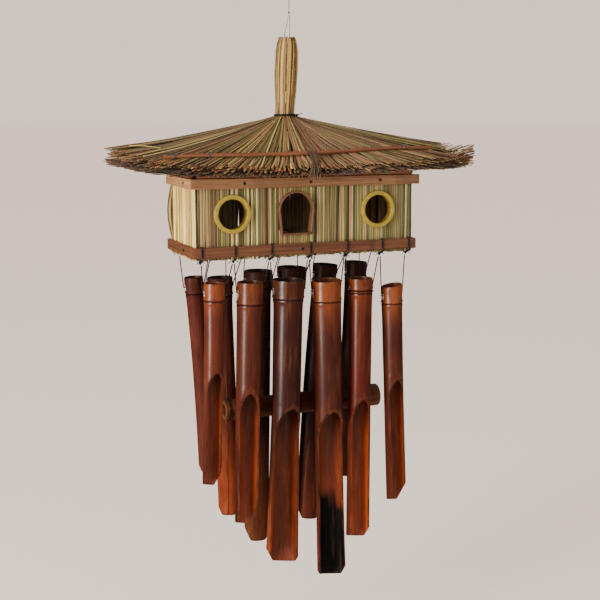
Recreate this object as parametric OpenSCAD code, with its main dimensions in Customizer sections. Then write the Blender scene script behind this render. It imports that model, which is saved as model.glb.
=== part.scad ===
// Hanging bamboo wind chime: a little straw-walled hut under a thatched roof,
// with two rows of tuned bamboo tubes and a bamboo striker hung between them.
// The origin is the point where the hanging loop rests on its hook; +Z is up,
// +X runs along the hut and -Y is the side with the door.

/* [Hut] */
// Length of the hut
hut_w = 250; // [240:1:260]
// Depth of the hut
hut_d = 95; // [90:1:100]
// Height of the hut
hut_h = 79.5; // [78:0.5:82]
// Height of a top slat
top_slat_h = 10.3; // [8:0.1:12]
// Height of a bottom slat
bottom_slat_h = 11.2; // [8:0.1:12]
// Thickness of the slats
slat_t = 3.5; // [3:0.1:4]
// Thickness of the straw walls
straw_t = 3; // [2:0.1:3]
// Thickness of the inner rails
rail_t = 3; // [2:0.1:3]

/* [Openings] */
// Outer diameter of a window ring
ring_d = 39.2; // [37:0.2:41]
// Wall of a window ring
ring_wall = 4.5; // [3:0.1:5]
// Depth of a window ring
ring_depth = 9.5; // [8:0.5:11]
// Radius of the door arch, outside the trim
door_r = 19.9; // [18:0.1:21]
// Width of the door at its foot, outside the trim
door_foot_w = 34.5; // [28:0.5:36]
// Thickness of the door trim
trim_t = 2; // [1.5:0.1:2.5]

/* [Roof] */
// Height of the roof's neck above the hut's lower edge
neck_h = 140; // [135:1:145]
// Height of the straw topknot
knot_h = 81; // [70:1:90]
// Diameter of the topknot where it is fullest
knot_d = 25; // [23:0.5:27]
// Diameter of the battens that hold the thatch down
batten_d = 4.2; // [3:0.1:5]

/* [Chime] */
// Height of the hook above the hut's lower edge
hook_h = 296; // [290:1:310]
// Distance from the middle of the hut to each row of tubes
row_y = 40; // [39.5:0.1:40.5]
// Diameter of the black cord
cord_d = 1.4; // [1.2:0.1:1.6]
// Drop of the striker's axis below the hut
striker_drop = 172; // [160:1:180]
// Diameter of the striker at its left end
striker_d_left = 22; // [20:0.5:23]
// Diameter of the striker at its right end
striker_d_right = 25; // [23:0.5:25]

/* [Hidden] */
$fn = 48;

gap = 0.1;              // play between neighbouring pieces of the hut
hut_x = 3;              // the hut's middle lies this far right of the hook
left = -hut_w / 2;      // the hut's left end, from its middle
neck_x = -5;            // the roof's neck lies this far from the hook
apex_x = neck_x - hut_x; // and this far from the hut's middle

slat_y = hut_d / 2;               // outer face of a long slat
straw_y = slat_y - slat_t;        // outer face of a long straw wall
rail_y = straw_y - straw_t;       // outer face of a long inner rail
inside_y = rail_y - rail_t;       // inner face of a long inner rail
slat_x = hut_w / 2;
straw_x = slat_x - slat_t;
rail_x = straw_x - straw_t;
inside_x = rail_x - rail_t;
top_slat_z = hut_h - top_slat_h;
straw_hang = 2;         // the straw's cut ends show this far below the slats
straw_top = hut_h - 0.5;
post = 5;               // side of a square corner post
lash_room = 1.4;        // space for the lashings inside the long rails

window_x = [-82, 80];
window_z = 43.5;
door_x = -13;
door_foot_z = 22.2;
door_arch_z = 45.5;
door_inner_lift = 0.2;  // the sill's play under the trim

// the knots along each long side, from the hut's left end
lashing_x = [10, 45, 84.5, 127.5, 169.5, 210, 241.5];
knot_z = -4.5;          // the knots that the tubes swing on
knot_r = 2.2;
striker_knot_z = -3;
striker_x = [50, 131.5, 205];
striker_from = 46;      // the striker's ends, from the hut's left end
striker_to = 228;
bar_w = 4;
bar_t = 4;
bar_z = bottom_slat_h + gap;

// Each tube: place along the hut, outer diameter, flared diameter at the top, diameter
// at the foot, length, distance from the top to the scoop, drop below the hut, lean in
// degrees, turn of the scoop to the right, how far short of the tube's middle the scoop
// stops as a share of its radius, width cut off the left and right bottom corners
front_tubes = [
    [24.4, 20.5, 22.3, 19.9, 217, 87, 26, -1.5, 10, 0.33, 0.02, 0.42],
    [63, 26.3, 27.2, 25.2, 265, 108, 27, -1.3, -8, 0.42, 0.02, 0.5],
    [105.4, 31, 35, 37, 317, 131, 27, -1.4, 10, 0.17, 0.2, 0.12],
    [148, 30.4, 31.2, 32.5, 338, 137, 30, 1.5, 3, 0.1, 0.07, 0.18],
    [188, 25.5, 26.4, 26, 296, 126, 30, -0.1, 0, 0.36, 0.02, 0.2],
    [225.4, 22, 22.6, 22.3, 249, 98, 40, 2.3, 5, 0.42, 0.02, 0.44]
];
back_tubes = [
    [26, 20, 21, 19.6, 222, 90, 31, 3.4, 0, 0.3, 0.3, 0.1],
    [56, 25, 27.9, 25.4, 270, 112, 33, 1.8, 0, 0.3, 0.18, 0.06],
    [101, 28, 31.6, 27.6, 310, 132, 28, -0.9, 0, 0.3, 0.29, 0.1],
    [140.8, 28, 31.6, 27.6, 287, 122, 26, -2.2, 0, 0.3, 0.2, 0.12],
    [182, 26.5, 27.6, 26, 297, 128, 25, -4.2, 0, 0.3, 0.24, 0.14],
    [220, 24, 25, 23.6, 252, 104, 24, -3, 0, 0.3, 0.2, 0.2]
];
tube_wall = 0.075;      // wall of a tube as a share of its diameter
min_wall = 1.8;
septum_drop = 20;       // from a tube's top to the closed joint of the bamboo
septum_t = 2.5;
hole_drop = 10.5;       // from a tube's top to its cord holes
hole_d = 3;
scoop_slant = 2.2;      // the scoop runs in over this many radii of length
scoop_ease = 0.18;      // the slant turns down this share of a radius before it stops
chamfer_slope = 1.7;    // height to width of the corners cut off a tube's foot
foot_slant = 24;        // the front row's feet are cut higher towards the front, in degrees
foot_turn = -22;        // and towards the left

// Outline of the eave from the right tip to the left tip along the front,
// from the neck: along, across, height of its upper and of its lower edge
eave_front = [
    [230, 0, 106, 90], [220, -22, 103, 86], [195, -40, 98, 84], [155, -55, 95, 84],
    [123, -60, 93, 83], [65, -62, 90, 81], [5, -62, 89, 80], [-55, -62, 89, 80],
    [-113, -61, 92, 82], [-145, -58, 95, 84], [-167, -52, 98, 87], [-185, -30, 104, 91],
    [-195, 0, 110, 97]
];
eave = concat(
    eave_front,
    [for (i = [len(eave_front) - 2:-1:1]) [for (k = [0:3]) eave_front[i][k] * (k == 1 ? -1 : 1)]]
);
neck_r = 10;
line_hole_r = 4;        // the way down through the topknot and the roof
thatch_sag = 2;         // dip of the roof halfway down its slope
attic_z = 86;           // underside of the thatch over the hut's edge
attic_mid_z = 103;      // underside halfway in
attic_top_z = 124;      // underside at the neck

batten_route = [
    [-145, -50, 102.2], [-100, -49.5, 103.2], [-55, -49, 103.2], [5, -48.5, 103.7],
    [75, -45, 106.2], [120, -41, 107.7], [155, -36, 106.7]
];
wire_x = [-135, -100, 120];
knot_lean = 2.1;        // the topknot leans to the right, in degrees
wire_d = 0.8;

line_d = 0.9;           // the thin hanging line
line_knot_r = 1.3;
line_knot_z = 247;      // where the two strands meet
loop_knot_z = 282;
clear = 0.3;            // play between a knot and the cord that turns on it
strand_x = 2.9;         // the two strands, either side of the roof's cross bar
hanging_line_route = [
    [0, 0, 280.4], [0, 0, 276], [0, 0, 272], [0, 0, 268], [0, 0, 264],
    [0, 0, 260], [0, 0, 256], [0, 0, 252], [0, 0, 248.6]
];
striker_tail_route = [
    [50, 0, -184.9], [50.2, 0, -190], [50.6, 0, -198], [50.8, 0, -206], [50.5, 0, -214],
    [50, 0, -222], [49.6, 0, -230], [49.5, 0, -238], [49.7, 0, -246], [50, 0, -254],
    [50.3, 0, -262], [50.4, 0, -270], [50.2, 0, -278], [50, 0, -286], [49.9, 0, -290]
];

straw_color = [0.62, 0.54, 0.33];
wall_color = [0.72, 0.66, 0.42];
slat_color = [0.64, 0.42, 0.27];
rattan_color = [0.58, 0.35, 0.24];
bamboo_color = [0.40, 0.16, 0.07];
ring_color = [0.60, 0.54, 0.20];
black = [0.05, 0.05, 0.06];

// ---------- shared shapes ----------

function unit(v) = v / norm(v);

// direction of a route at point i
function heading(p, i) = unit(p[min(i + 1, len(p) - 1)] - p[max(i - 1, 0)]);

// ring of points round point i of a route; every route here keeps clear of the Y direction
function ring(p, i, r, sides) =
    let (t = heading(p, i), u = unit([0, 1, 0] - t[1] * t), v = cross(t, u))
    [for (k = [0:sides - 1]) p[i] + r * (cos(360 * k / sides) * u + sin(360 * k / sides) * v)];

// cord of diameter d along the points p
module cord(p, d, sides = 8) {
    rings = len(p);
    points = [for (i = [0:rings - 1]) each ring(p, i, d / 2, sides)];
    walls = [for (i = [0:rings - 2], k = [0:sides - 1])
        let (n = (k + 1) % sides)
        [i * sides + k, (i + 1) * sides + k, (i + 1) * sides + n, i * sides + n]];
    polyhedron(points, concat(
        walls,
        [[for (k = [0:sides - 1]) k]],
        [[for (k = [sides - 1:-1:0]) (rings - 1) * sides + k]]
    ), convexity = 6);
}

// straight rod between two points
module rod(a, b, d) {
    run = b - a;
    translate(a)
        rotate([0, acos(run[2] / norm(run)), atan2(run[1], run[0])])
        cylinder(h = norm(run), d = d);
}

// block between two corners
module block(low, high) translate(low) cube(high - low);

// everything on the hut is measured from its middle, at its lower edge
module on_hut() translate([hut_x, 0, -hook_h]) children();

// everything on the line is measured from the hook's axis
module on_axis() translate([0, 0, -hook_h]) children();

// everything on the roof is measured from the neck's axis
module on_roof() translate([neck_x, 0, -hook_h]) children();

// things placed from the hut's left end
module from_left() translate([left, 0, 0]) children();

// the same thing again on the other long side
module back_side() mirror([0, 1, 0]) children();

// ---------- hanging line ----------

module hanging_loop() color(black) on_axis() {
    loop_r = 6.5;
    translate([0, 0, loop_knot_z]) sphere(r = line_knot_r);
    translate([0, 0, hook_h - loop_r]) rotate([90, 0, 0])
        rotate_extrude() translate([loop_r + line_d / 2, 0]) circle(d = line_d);
}

module hanging_line() color(black) on_axis() cord(hanging_line_route, line_d);

module line_knot() color(black) on_axis() translate([0, 0, line_knot_z]) sphere(r = line_knot_r);

// one strand (side -1 or 1): from the knot, down through the topknot and the roof
function strand(side) =
    let (bar_under = hut_h - 1.6, knot_shift = knot_h * tan(knot_lean), points = [
        [0, 0.7, line_knot_z - line_knot_r - clear - line_d / 2], [-0.6, 1.4, 236],
        [neck_x + knot_shift, strand_x, neck_h + knot_h + 1],
        [neck_x + knot_shift / 2, strand_x, neck_h + knot_h / 2],
        [neck_x, strand_x, neck_h], [neck_x, strand_x, bar_under + 1.5],
        [neck_x, strand_x - 1.2, bar_under]
    ])
    [for (p = points) [p[0] + side * p[1], 0, p[2]]];

module hanger_strands() color(black) on_axis() {
    right = strand(1);
    cord(concat(strand(-1), [for (i = [len(right) - 1:-1:0]) right[i]]), line_d);
}

// ---------- roof ----------

module topknot() color(straw_color) on_roof()
    translate([0, 0, neck_h + gap + neck_r * sin(knot_lean)]) rotate([0, knot_lean, 0])
    rotate_extrude() polygon([
        [line_hole_r, 0], [neck_r, 0], [neck_r + 0.6, 12], [knot_d / 2 - 0.6, 30],
        [knot_d / 2, 48], [knot_d / 2 - 0.2, 64], [knot_d / 2 - 1.4, 76],
        [knot_d / 2 - 3.4, knot_h], [line_hole_r, knot_h]
    ]);

module neck_tie() color(black) on_roof() {
    band_h = 3;
    band_t = 1.8;
    translate([0, 0, neck_h + gap]) difference() {
        cylinder(h = band_h, r = neck_r + band_t + 0.6);
        translate([0, 0, -1]) cylinder(h = band_h + 2, r = neck_r + 0.6);
    }
    translate([neck_r + 3.2, -2, neck_h + 1.6]) sphere(r = 1.9);
    rod([neck_r + 4.6, -2.6, neck_h + 1.8], [neck_r + 8.5, -4, neck_h + 4], 1);
}

// a closed ring of the roof: each eave point moved a share of the way in to radius r
function roof_ring(r, share, z) = [for (i = [0:len(eave) - 1])
    let (e = [eave[i][0], eave[i][1]], foot = unit(e) * r, xy = foot + (e - foot) * share[i])
    [xy[0], xy[1], z[i]]];

module thatch() color(straw_color) on_roof() {
    n = len(eave);
    none = [for (i = [0:n - 1]) 0];
    half = [for (i = [0:n - 1]) 0.5];
    whole = [for (i = [0:n - 1]) 1];
    // where each straw crosses the edge of the hut
    edge = [for (e = eave) min((hut_w / 2 + 8) / max(abs(e[0]), 1), slat_y / max(abs(e[1]), 1))];
    rings = [
        roof_ring(line_hole_r, none, [for (e = eave) neck_h]),
        roof_ring(neck_r, none, [for (e = eave) neck_h]),
        roof_ring(neck_r, half, [for (e = eave) (neck_h + e[2]) / 2 - thatch_sag]),
        roof_ring(neck_r, whole, [for (e = eave) e[2]]),
        roof_ring(neck_r, whole, [for (e = eave) e[3]]),
        roof_ring(0, edge, [for (e = eave) attic_z]),
        roof_ring(0, edge / 2, [for (e = eave) attic_mid_z]),
        roof_ring(line_hole_r, none, [for (e = eave) attic_top_z])
    ];
    count = len(rings);
    polyhedron(
        [for (loop = rings) each loop],
        [for (j = [0:count - 1], i = [0:n - 1], upper = [0, 1])
            let (next = (i + 1) % n, below = (j + 1) % count,
                 a = j * n + i, b = j * n + next, c = below * n + next, d = below * n + i)
            upper == 0 ? [a, c, b] : [a, d, c]],
        convexity = 6
    );
}

module batten() cord(batten_route, batten_d, 12);

module front_batten() color(rattan_color) on_roof() batten();

module back_batten() color(rattan_color) on_roof() back_side() batten();

// height and depth of the batten at x, along its route
function batten_at(x) = [x, lookup(x, [for (p = batten_route) [p[0], p[1]]]),
    lookup(x, [for (p = batten_route) [p[0], p[2]]])];

module batten_wires() color("gray") on_roof() for (side = [0, 1]) mirror([0, side, 0])
    for (x = wire_x) {
        over = batten_at(x) + [0, -batten_d / 2 - wire_d, batten_d / 2];
        cord([over + [-0.6, 4, 4], over, over + [0.4, -1, -7]], wire_d);
    }

module roof_frame() color(rattan_color) on_hut() {
    rod_d = 4;
    rest_z = hut_h + rod_d / 2 + gap;
    for (y = [-1, 1] * (straw_y + 0.5)) rod([-rail_x, y, rest_z], [rail_x, y, rest_z], rod_d);
    for (x = [-1, 1] * (straw_x + 1.5)) rod([x, -inside_y, rest_z], [x, inside_y, rest_z], rod_d);
    bar = [4.4, 2 * rail_y - 2 * gap, 5];
    translate([apex_x - bar[0] / 2, -bar[1] / 2, hut_h + gap]) cube(bar);
}

// ---------- hut ----------

module long_slat(z, h, over) block([-slat_x, -slat_y, z], [slat_x + over, -straw_y - gap, z + h]);

module front_top_slat() color(slat_color) on_hut() long_slat(top_slat_z, top_slat_h, 3);

module back_top_slat() color(slat_color) on_hut() back_side() long_slat(top_slat_z, top_slat_h, 3);

module front_bottom_slat() color(slat_color) on_hut() long_slat(0, bottom_slat_h, 0);

module back_bottom_slat() color(slat_color) on_hut() back_side() long_slat(0, bottom_slat_h, 0);

module side_slat(z, h) block([-slat_x, -straw_y, z], [-straw_x - gap, straw_y, z + h]);

module left_top_slat() color(slat_color) on_hut() side_slat(top_slat_z, top_slat_h);

module left_bottom_slat() color(slat_color) on_hut() side_slat(0, bottom_slat_h);

module right_top_slat() color(slat_color) on_hut() mirror([1, 0, 0]) side_slat(top_slat_z, top_slat_h);

module right_bottom_slat() color(slat_color) on_hut() mirror([1, 0, 0]) side_slat(0, bottom_slat_h);

module inner_rails() color(slat_color) on_hut()
    for (level = [[0, bottom_slat_h], [top_slat_z, top_slat_h]]) {
        z = level[0];
        h = level[1];
        for (side = [0, 1]) {
            mirror([0, side, 0])
                block([-rail_x + gap, -rail_y + gap, z], [rail_x - gap, -inside_y, z + h]);
            mirror([side, 0, 0])
                block([-rail_x + gap, -inside_y + lash_room, z], [-inside_x, inside_y - lash_room, z + h]);
        }
    }

module corner_posts() color(slat_color) on_hut()
    for (sx = [0, 1], sy = [0, 1]) mirror([sx, 0, 0]) mirror([0, sy, 0])
        block([-inside_x + gap, -inside_y + lash_room, bottom_slat_h],
              [-inside_x + post, -inside_y + lash_room + post, top_slat_z]);

// slots in a long wall where the lashings pass through it
module lashing_slots() from_left() for (x = lashing_x)
    block([x - 1.5, -straw_y - 1, bottom_slat_h + gap], [x + 1.5, -rail_y + 1, bottom_slat_h + 1.6]);

module long_wall() difference() {
    block([-rail_x, -straw_y, -straw_hang], [rail_x, -rail_y, straw_top]);
    lashing_slots();
}

// outline of the door: an arch that draws in towards its foot
module door_outline(r, foot_w, foot_z) {
    reach = 15; // the arch runs on this many degrees below its middle
    arc = [for (a = [-reach:7.5:180 + reach]) [r * cos(a), r * sin(a)]];
    translate([door_x, door_arch_z]) polygon(concat(
        arc, [[-foot_w / 2, foot_z - door_arch_z], [foot_w / 2, foot_z - door_arch_z]]
    ));
}

// pushes a shape drawn in X and Z through the front wall
module through_front(from_y, to_y) translate([0, to_y, 0]) rotate([90, 0, 0])
    linear_extrude(to_y - from_y) children();

module front_wall() color(wall_color) on_hut() difference() {
    long_wall();
    for (x = window_x) translate([x, -rail_y + 1, window_z]) rotate([90, 0, 0])
        cylinder(h = straw_t + 2, d = ring_d + 1.2);
    through_front(-straw_y - 1, -rail_y + 1)
        door_outline(door_r + gap, door_foot_w + 2 * gap, door_foot_z - trim_t - 2 * gap);
}

module back_wall() color(wall_color) on_hut() back_side() long_wall();

module side_wall() block([-straw_x, -straw_y, -straw_hang], [-rail_x - gap, straw_y, straw_top]);

module left_wall() color(wall_color) on_hut() side_wall();

module right_wall() color(wall_color) on_hut() mirror([1, 0, 0]) side_wall();

module window_ring(x) on_hut() translate([x, -slat_y + 0.5, window_z]) rotate([-90, 0, 0])
    difference() {
        cylinder(h = ring_depth, d = ring_d);
        translate([0, 0, -1]) cylinder(h = ring_depth + 2, d = ring_d - 2 * ring_wall);
    }

module left_window_ring() color(ring_color) window_ring(window_x[0]);

module right_window_ring() color(ring_color) window_ring(window_x[1]);

module door_trim() color(rattan_color) on_hut() {
    front = -slat_y - 0.5;
    back = -inside_y - 1;
    through_front(front, back) difference() {
        door_outline(door_r, door_foot_w, door_foot_z);
        door_outline(door_r - trim_t, door_foot_w - 2 * trim_t, door_foot_z - 1);
    }
    block([door_x - door_foot_w / 2, front, door_foot_z - trim_t - door_inner_lift],
          [door_x + door_foot_w / 2, back, door_foot_z - door_inner_lift]);
}

// a nail driven in along +Y at the given place on the front
module nail(at) translate(at) rotate([-90, 0, 0]) {
    translate([0, 0, -0.8]) cylinder(h = 0.8, d = 3);
    cylinder(h = 8, d = 1.4);
}

module nails() color([0.2, 0.2, 0.22]) on_hut() {
    mid_top = top_slat_z + top_slat_h / 2;
    mid_bottom = bottom_slat_h / 2;
    for (side = [0, 1]) mirror([0, side, 0]) {
        from_left() for (x = [55, 127, 206]) nail([x, -slat_y, mid_top]);
        from_left() nail([118, -slat_y, mid_bottom]);
    }
    for (side = [0, 1]) mirror([side, 0, 0]) for (at = [[-18, mid_top], [-15, mid_bottom]])
        rotate([0, 0, -90]) nail([-at[0], -slat_x, at[1]]);
}

// ---------- lashings and cords ----------

// black cord tied round the bottom slat, the straw and the rail, with its knot below
module lashing(x) {
    band_w = 2;
    band_t = 1.1;
    low = [-slat_y - gap, -straw_hang - gap];
    high = [-inside_y + gap, bottom_slat_h + gap];
    from_left() translate([x, 0, 0]) {
        translate([-band_w / 2, 0, 0]) rotate([90, 0, 90]) linear_extrude(band_w) difference() {
            translate(low - band_t * [1, 1]) square(high - low + 2 * band_t * [1, 1]);
            translate(low) square(high - low);
        }
        translate([0, -row_y, knot_z]) sphere(r = knot_r);
        rod([1.5, -row_y, knot_z], [5.5, -row_y - 0.4, knot_z - 0.6], 1);
        rod([-1.5, -row_y, knot_z], [-5, -row_y - 0.6, knot_z - 0.4], 1);
    }
}

module front_lashings() color(black) on_hut() for (x = lashing_x) lashing(x);

module back_lashings() color(black) on_hut() back_side() for (x = lashing_x) lashing(x);

module floor_bars() color(rattan_color) on_hut() from_left() for (x = striker_x)
    block([x - bar_w / 2, -rail_y + 2 * gap, bar_z], [x + bar_w / 2, rail_y - 2 * gap, bar_z + bar_t]);

// cord looped over each floor bar and knotted below it
module striker_knots() color(black) on_hut() from_left() for (x = striker_x) translate([x, 0, 0]) {
    side = bar_w / 2 + cord_d / 2 + gap;
    top = bar_z + bar_t + cord_d / 2 + gap;
    foot = striker_knot_z + knot_r + gap;
    half = [[0.9, 0, foot], [1.6, 0, 4], [side, 0, 9], [side, 0, top - 0.7], [side - 0.7, 0, top]];
    last = len(half) - 1;
    cord(concat(half, [for (i = [last:-1:0]) [-half[i][0], 0, half[i][2]]]), cord_d);
    translate([0, 0, striker_knot_z]) sphere(r = knot_r);
    rod([1.5, 0, striker_knot_z], [6, -1, striker_knot_z - 1], 1);
}

function striker_r(x) = let (share = (x - striker_from) / (striker_to - striker_from))
    (striker_d_left + (striker_d_right - striker_d_left) * share) / 2;

module striker() color(bamboo_color) on_hut() from_left()
    translate([striker_from, 0, -striker_drop]) rotate([0, 90, 0]) rotate_extrude() {
        length = striker_to - striker_from;
        r0 = striker_d_left / 2;
        r1 = striker_d_right / 2;
        polygon([
            [0, 0], [r0 - 0.8, 0], [r0, 1], [r0, 9], [r0 + 0.5, 11], [r0, 13],
            [r1 - 0.2, length - 20], [r1, length - 16], [r1, length - 1], [r1 - 0.8, length],
            [0, length]
        ]);
    }

module striker_cords() color(black) on_hut() from_left() for (x = striker_x) {
    r = striker_r(x);
    foot = -striker_drop + r + cord_d + 2 * gap;
    cord([for (z = [striker_knot_z - knot_r - clear, -50, -100, foot]) [x, 0, z]], cord_d);
    translate([x, 0, -striker_drop]) rotate([0, 90, 0])
        rotate_extrude() translate([r + cord_d / 2 + gap, 0]) circle(d = cord_d);
}

module striker_tail() color(black) on_hut() from_left() cord(striker_tail_route, 1.2);

// ---------- tubes ----------

// A bamboo tube with its top at the origin and its scoop towards -Y, turned by face;
// chamfers are the shares cut off its left and right bottom corners, as seen from where
// the foot's slant faces
module bamboo_tube(d, d_top, d_foot, length, scoop, face, keep, chamfers, turn,
    slant) {
    r = d / 2;
    r_top = d_top / 2;
    r_foot = d_foot / 2;
    wall = max(min_wall, d * tube_wall);
    difference() {
        rotate_extrude() polygon([
            [r_top - wall, 0], [r_top, 0], [r_top, -hole_drop], [r + 0.8, -septum_drop + 3],
            [r + 0.9, -septum_drop + 0.8], [r - 0.5, -septum_drop], [r + 0.3, -septum_drop - 1.4],
            [r, -septum_drop - 12], [r - 0.2, -scoop], [r_foot, -length],
            [r_foot - wall, -length], [r - 0.2 - wall, -scoop],
            [r - wall, -septum_drop - septum_t - 10], [r - wall - 1, -septum_drop - septum_t],
            [0, -septum_drop - septum_t], [0, -septum_drop], [r_top - wall, -septum_drop]
        ]);
        rotate([0, 0, face]) scoop_cut(r, length, scoop, keep);
        rotate([0, 0, turn]) foot_cut(d_foot, length, chamfers, slant);
        translate([0, 0, -hole_drop]) rotate([0, 90, 0]) cylinder(h = d_top + 4, d = hole_d, center = true);
    }
}

// the scoop: a slant that runs in from the front, then straight down
module scoop_cut(r, length, scoop, keep) {
    run = scoop_slant * r;
    translate([-r - 6, 0, 0]) rotate([90, 0, 90]) linear_extrude(2 * r + 12) polygon([
        [-r - 6, -scoop + 2], [-r - 6, -length - 3], [-r * keep, -length - 3],
        [-r * keep, -scoop - run], [-r * (keep + scoop_ease), -scoop - 0.68 * run], [-r, -scoop]
    ]);
}

// cuts the foot at a slant, higher towards -Y, and takes off its corners
module foot_cut(d, length, chamfers, slant) {
    left = chamfers[0] * d;
    right = chamfers[1] * d;
    translate([0, d / 2, -length]) rotate([90 - slant, 0, 0])
    linear_extrude(4 * d, center = true) polygon([
        [-d / 2 - 2, -40], [d / 2 + 2, -40], [d / 2 + 2, chamfer_slope * (right + 2)],
        [d / 2 - right, 0], [left - d / 2, 0], [-d / 2 - 2, chamfer_slope * (left + 2)]
    ]);
}

// a tube of the front row hangs as it is, one of the back row is turned to face away
module hung_tube(t, back) color(bamboo_color) on_hut() from_left()
    translate([t[0], back ? row_y : -row_y, -t[6]]) rotate([0, -t[7], 0])
    rotate([0, 0, back ? 180 : 0])
    bamboo_tube(t[1], t[2], t[3], t[4], t[5], t[8], t[9], [t[10], t[11]],
        foot_turn + (back ? 180 : 0), back ? 0 : foot_slant);

// a place beside a hung tube, from the middle of its top and along its own lean
function on_tube(t, dx, dz) =
    [t[0] + dx * cos(t[7]) - dz * sin(t[7]), -t[6] + dx * sin(t[7]) + dz * cos(t[7])];

// one side of a sling (-1 left, 1 right): from a knot, past the tube's rim and into its hole
function sling_half(t, knot_x, side) =
    let (out = t[2] / 2 + cord_d / 2 + 0.6,
         // neighbouring slings leave a knot side by side
         start = [knot_x - 1.1 * side, knot_z - knot_r - clear - cord_d / 3],
         above = on_tube(t, side * out, 3 - hole_drop),
         rim = on_tube(t, side * out, 1),
         straight = start[0] + (above[0] - start[0]) * (rim[1] - start[1]) / (above[1] - start[1]))
    [start, [side < 0 ? min(rim[0], straight) : max(rim[0], straight), rim[1]], above,
     on_tube(t, side * (out - 0.4), 0.8 - hole_drop), on_tube(t, side * (out - 1.4), -hole_drop)];

// one cord from a knot, through both holes of the tube and up to the next knot
module sling(t, i) on_hut() from_left() {
    right = sling_half(t, lashing_x[i + 1], 1);
    points = concat(sling_half(t, lashing_x[i], -1), [for (k = [len(right) - 1:-1:0]) right[k]]);
    cord([for (p = points) [p[0], 0, p[1]]], cord_d);
}

module front_sling(i) color(black) translate([0, -row_y, 0]) sling(front_tubes[i], i);

module back_sling(i) color(black) translate([0, row_y, 0]) sling(back_tubes[i], i);

module tube_f1() hung_tube(front_tubes[0], false);
module tube_f2() hung_tube(front_tubes[1], false);
module tube_f3() hung_tube(front_tubes[2], false);
module tube_f4() hung_tube(front_tubes[3], false);
module tube_f5() hung_tube(front_tubes[4], false);
module tube_f6() hung_tube(front_tubes[5], false);
module tube_b1() hung_tube(back_tubes[0], true);
module tube_b2() hung_tube(back_tubes[1], true);
module tube_b3() hung_tube(back_tubes[2], true);
module tube_b4() hung_tube(back_tubes[3], true);
module tube_b5() hung_tube(back_tubes[4], true);
module tube_b6() hung_tube(back_tubes[5], true);
module sling_f1() front_sling(0);
module sling_f2() front_sling(1);
module sling_f3() front_sling(2);
module sling_f4() front_sling(3);
module sling_f5() front_sling(4);
module sling_f6() front_sling(5);
module sling_b1() back_sling(0);
module sling_b2() back_sling(1);
module sling_b3() back_sling(2);
module sling_b4() back_sling(3);
module sling_b5() back_sling(4);
module sling_b6() back_sling(5);

hanging_loop();
hanging_line();
line_knot();
hanger_strands();
topknot();
neck_tie();
thatch();
front_batten();
back_batten();
batten_wires();
roof_frame();
front_top_slat();
back_top_slat();
left_top_slat();
right_top_slat();
front_bottom_slat();
back_bottom_slat();
left_bottom_slat();
right_bottom_slat();
inner_rails();
corner_posts();
front_wall();
back_wall();
left_wall();
right_wall();
left_window_ring();
right_window_ring();
door_trim();
nails();
front_lashings();
back_lashings();
floor_bars();
striker_knots();
striker();
striker_cords();
striker_tail();
tube_f1();
tube_f2();
tube_f3();
tube_f4();
tube_f5();
tube_f6();
tube_b1();
tube_b2();
tube_b3();
tube_b4();
tube_b5();
tube_b6();
sling_f1();
sling_f2();
sling_f3();
sling_f4();
sling_f5();
sling_f6();
sling_b1();
sling_b2();
sling_b3();
sling_b4();
sling_b5();
sling_b6();
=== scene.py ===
"""Looks of the hanging bamboo wind chime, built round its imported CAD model.

Lengths are in millimetres until a piece is finished. Four origins are used, all at the
height of the hut's lower edge: HUT is the middle of the hut, LEFT its left end, AXIS the
place under the hook, and ROOF the place under the middle of the roof's neck.
"""

import math
from collections import namedtuple

import bmesh
import bpy
import numpy as np
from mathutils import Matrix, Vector


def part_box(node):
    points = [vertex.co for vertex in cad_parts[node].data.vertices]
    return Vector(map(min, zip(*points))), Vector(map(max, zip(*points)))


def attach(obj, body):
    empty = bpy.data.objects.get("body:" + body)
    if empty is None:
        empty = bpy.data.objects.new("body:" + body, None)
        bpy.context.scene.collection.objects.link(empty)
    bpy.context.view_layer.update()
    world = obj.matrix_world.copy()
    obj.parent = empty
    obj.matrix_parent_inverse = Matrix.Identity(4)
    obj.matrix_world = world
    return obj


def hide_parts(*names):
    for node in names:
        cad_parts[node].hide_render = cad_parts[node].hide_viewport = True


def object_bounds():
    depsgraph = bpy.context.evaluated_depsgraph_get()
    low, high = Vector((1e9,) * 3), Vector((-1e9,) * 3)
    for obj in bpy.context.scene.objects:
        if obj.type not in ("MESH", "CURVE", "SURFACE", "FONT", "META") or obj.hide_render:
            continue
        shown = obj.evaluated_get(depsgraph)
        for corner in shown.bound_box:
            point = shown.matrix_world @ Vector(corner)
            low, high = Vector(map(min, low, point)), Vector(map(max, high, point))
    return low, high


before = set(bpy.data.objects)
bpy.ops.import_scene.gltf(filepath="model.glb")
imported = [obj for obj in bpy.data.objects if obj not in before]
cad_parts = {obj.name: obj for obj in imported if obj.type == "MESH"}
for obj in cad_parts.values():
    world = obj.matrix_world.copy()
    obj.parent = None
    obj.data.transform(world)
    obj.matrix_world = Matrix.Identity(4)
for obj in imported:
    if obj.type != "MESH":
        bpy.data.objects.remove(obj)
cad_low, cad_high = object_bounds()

MM = 0.001
SHARP_ANGLE = math.radians(42)  # edges sharper than this stay crisp

# ---------- camera ----------

CAMERA_PLACE = (-0.430, -1.095, -0.148)
CAMERA_HEADING = 22.0  # degrees from +Y towards +X
CAMERA_PITCH = 9.85  # degrees below the horizon
CAMERA_LENS = 66.0

camera_data = bpy.data.cameras.new("camera")
camera_data.lens = CAMERA_LENS
camera_data.sensor_width = 36.0
camera_data.clip_start = 0.01
camera = bpy.data.objects.new("camera", camera_data)
camera.location = CAMERA_PLACE
camera.rotation_euler = (math.radians(90 - CAMERA_PITCH), 0, math.radians(-CAMERA_HEADING))
bpy.context.scene.collection.objects.link(camera)
bpy.context.scene.camera = camera

# ---------- places and sizes, measured on the CAD model where it shows them ----------

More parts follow.
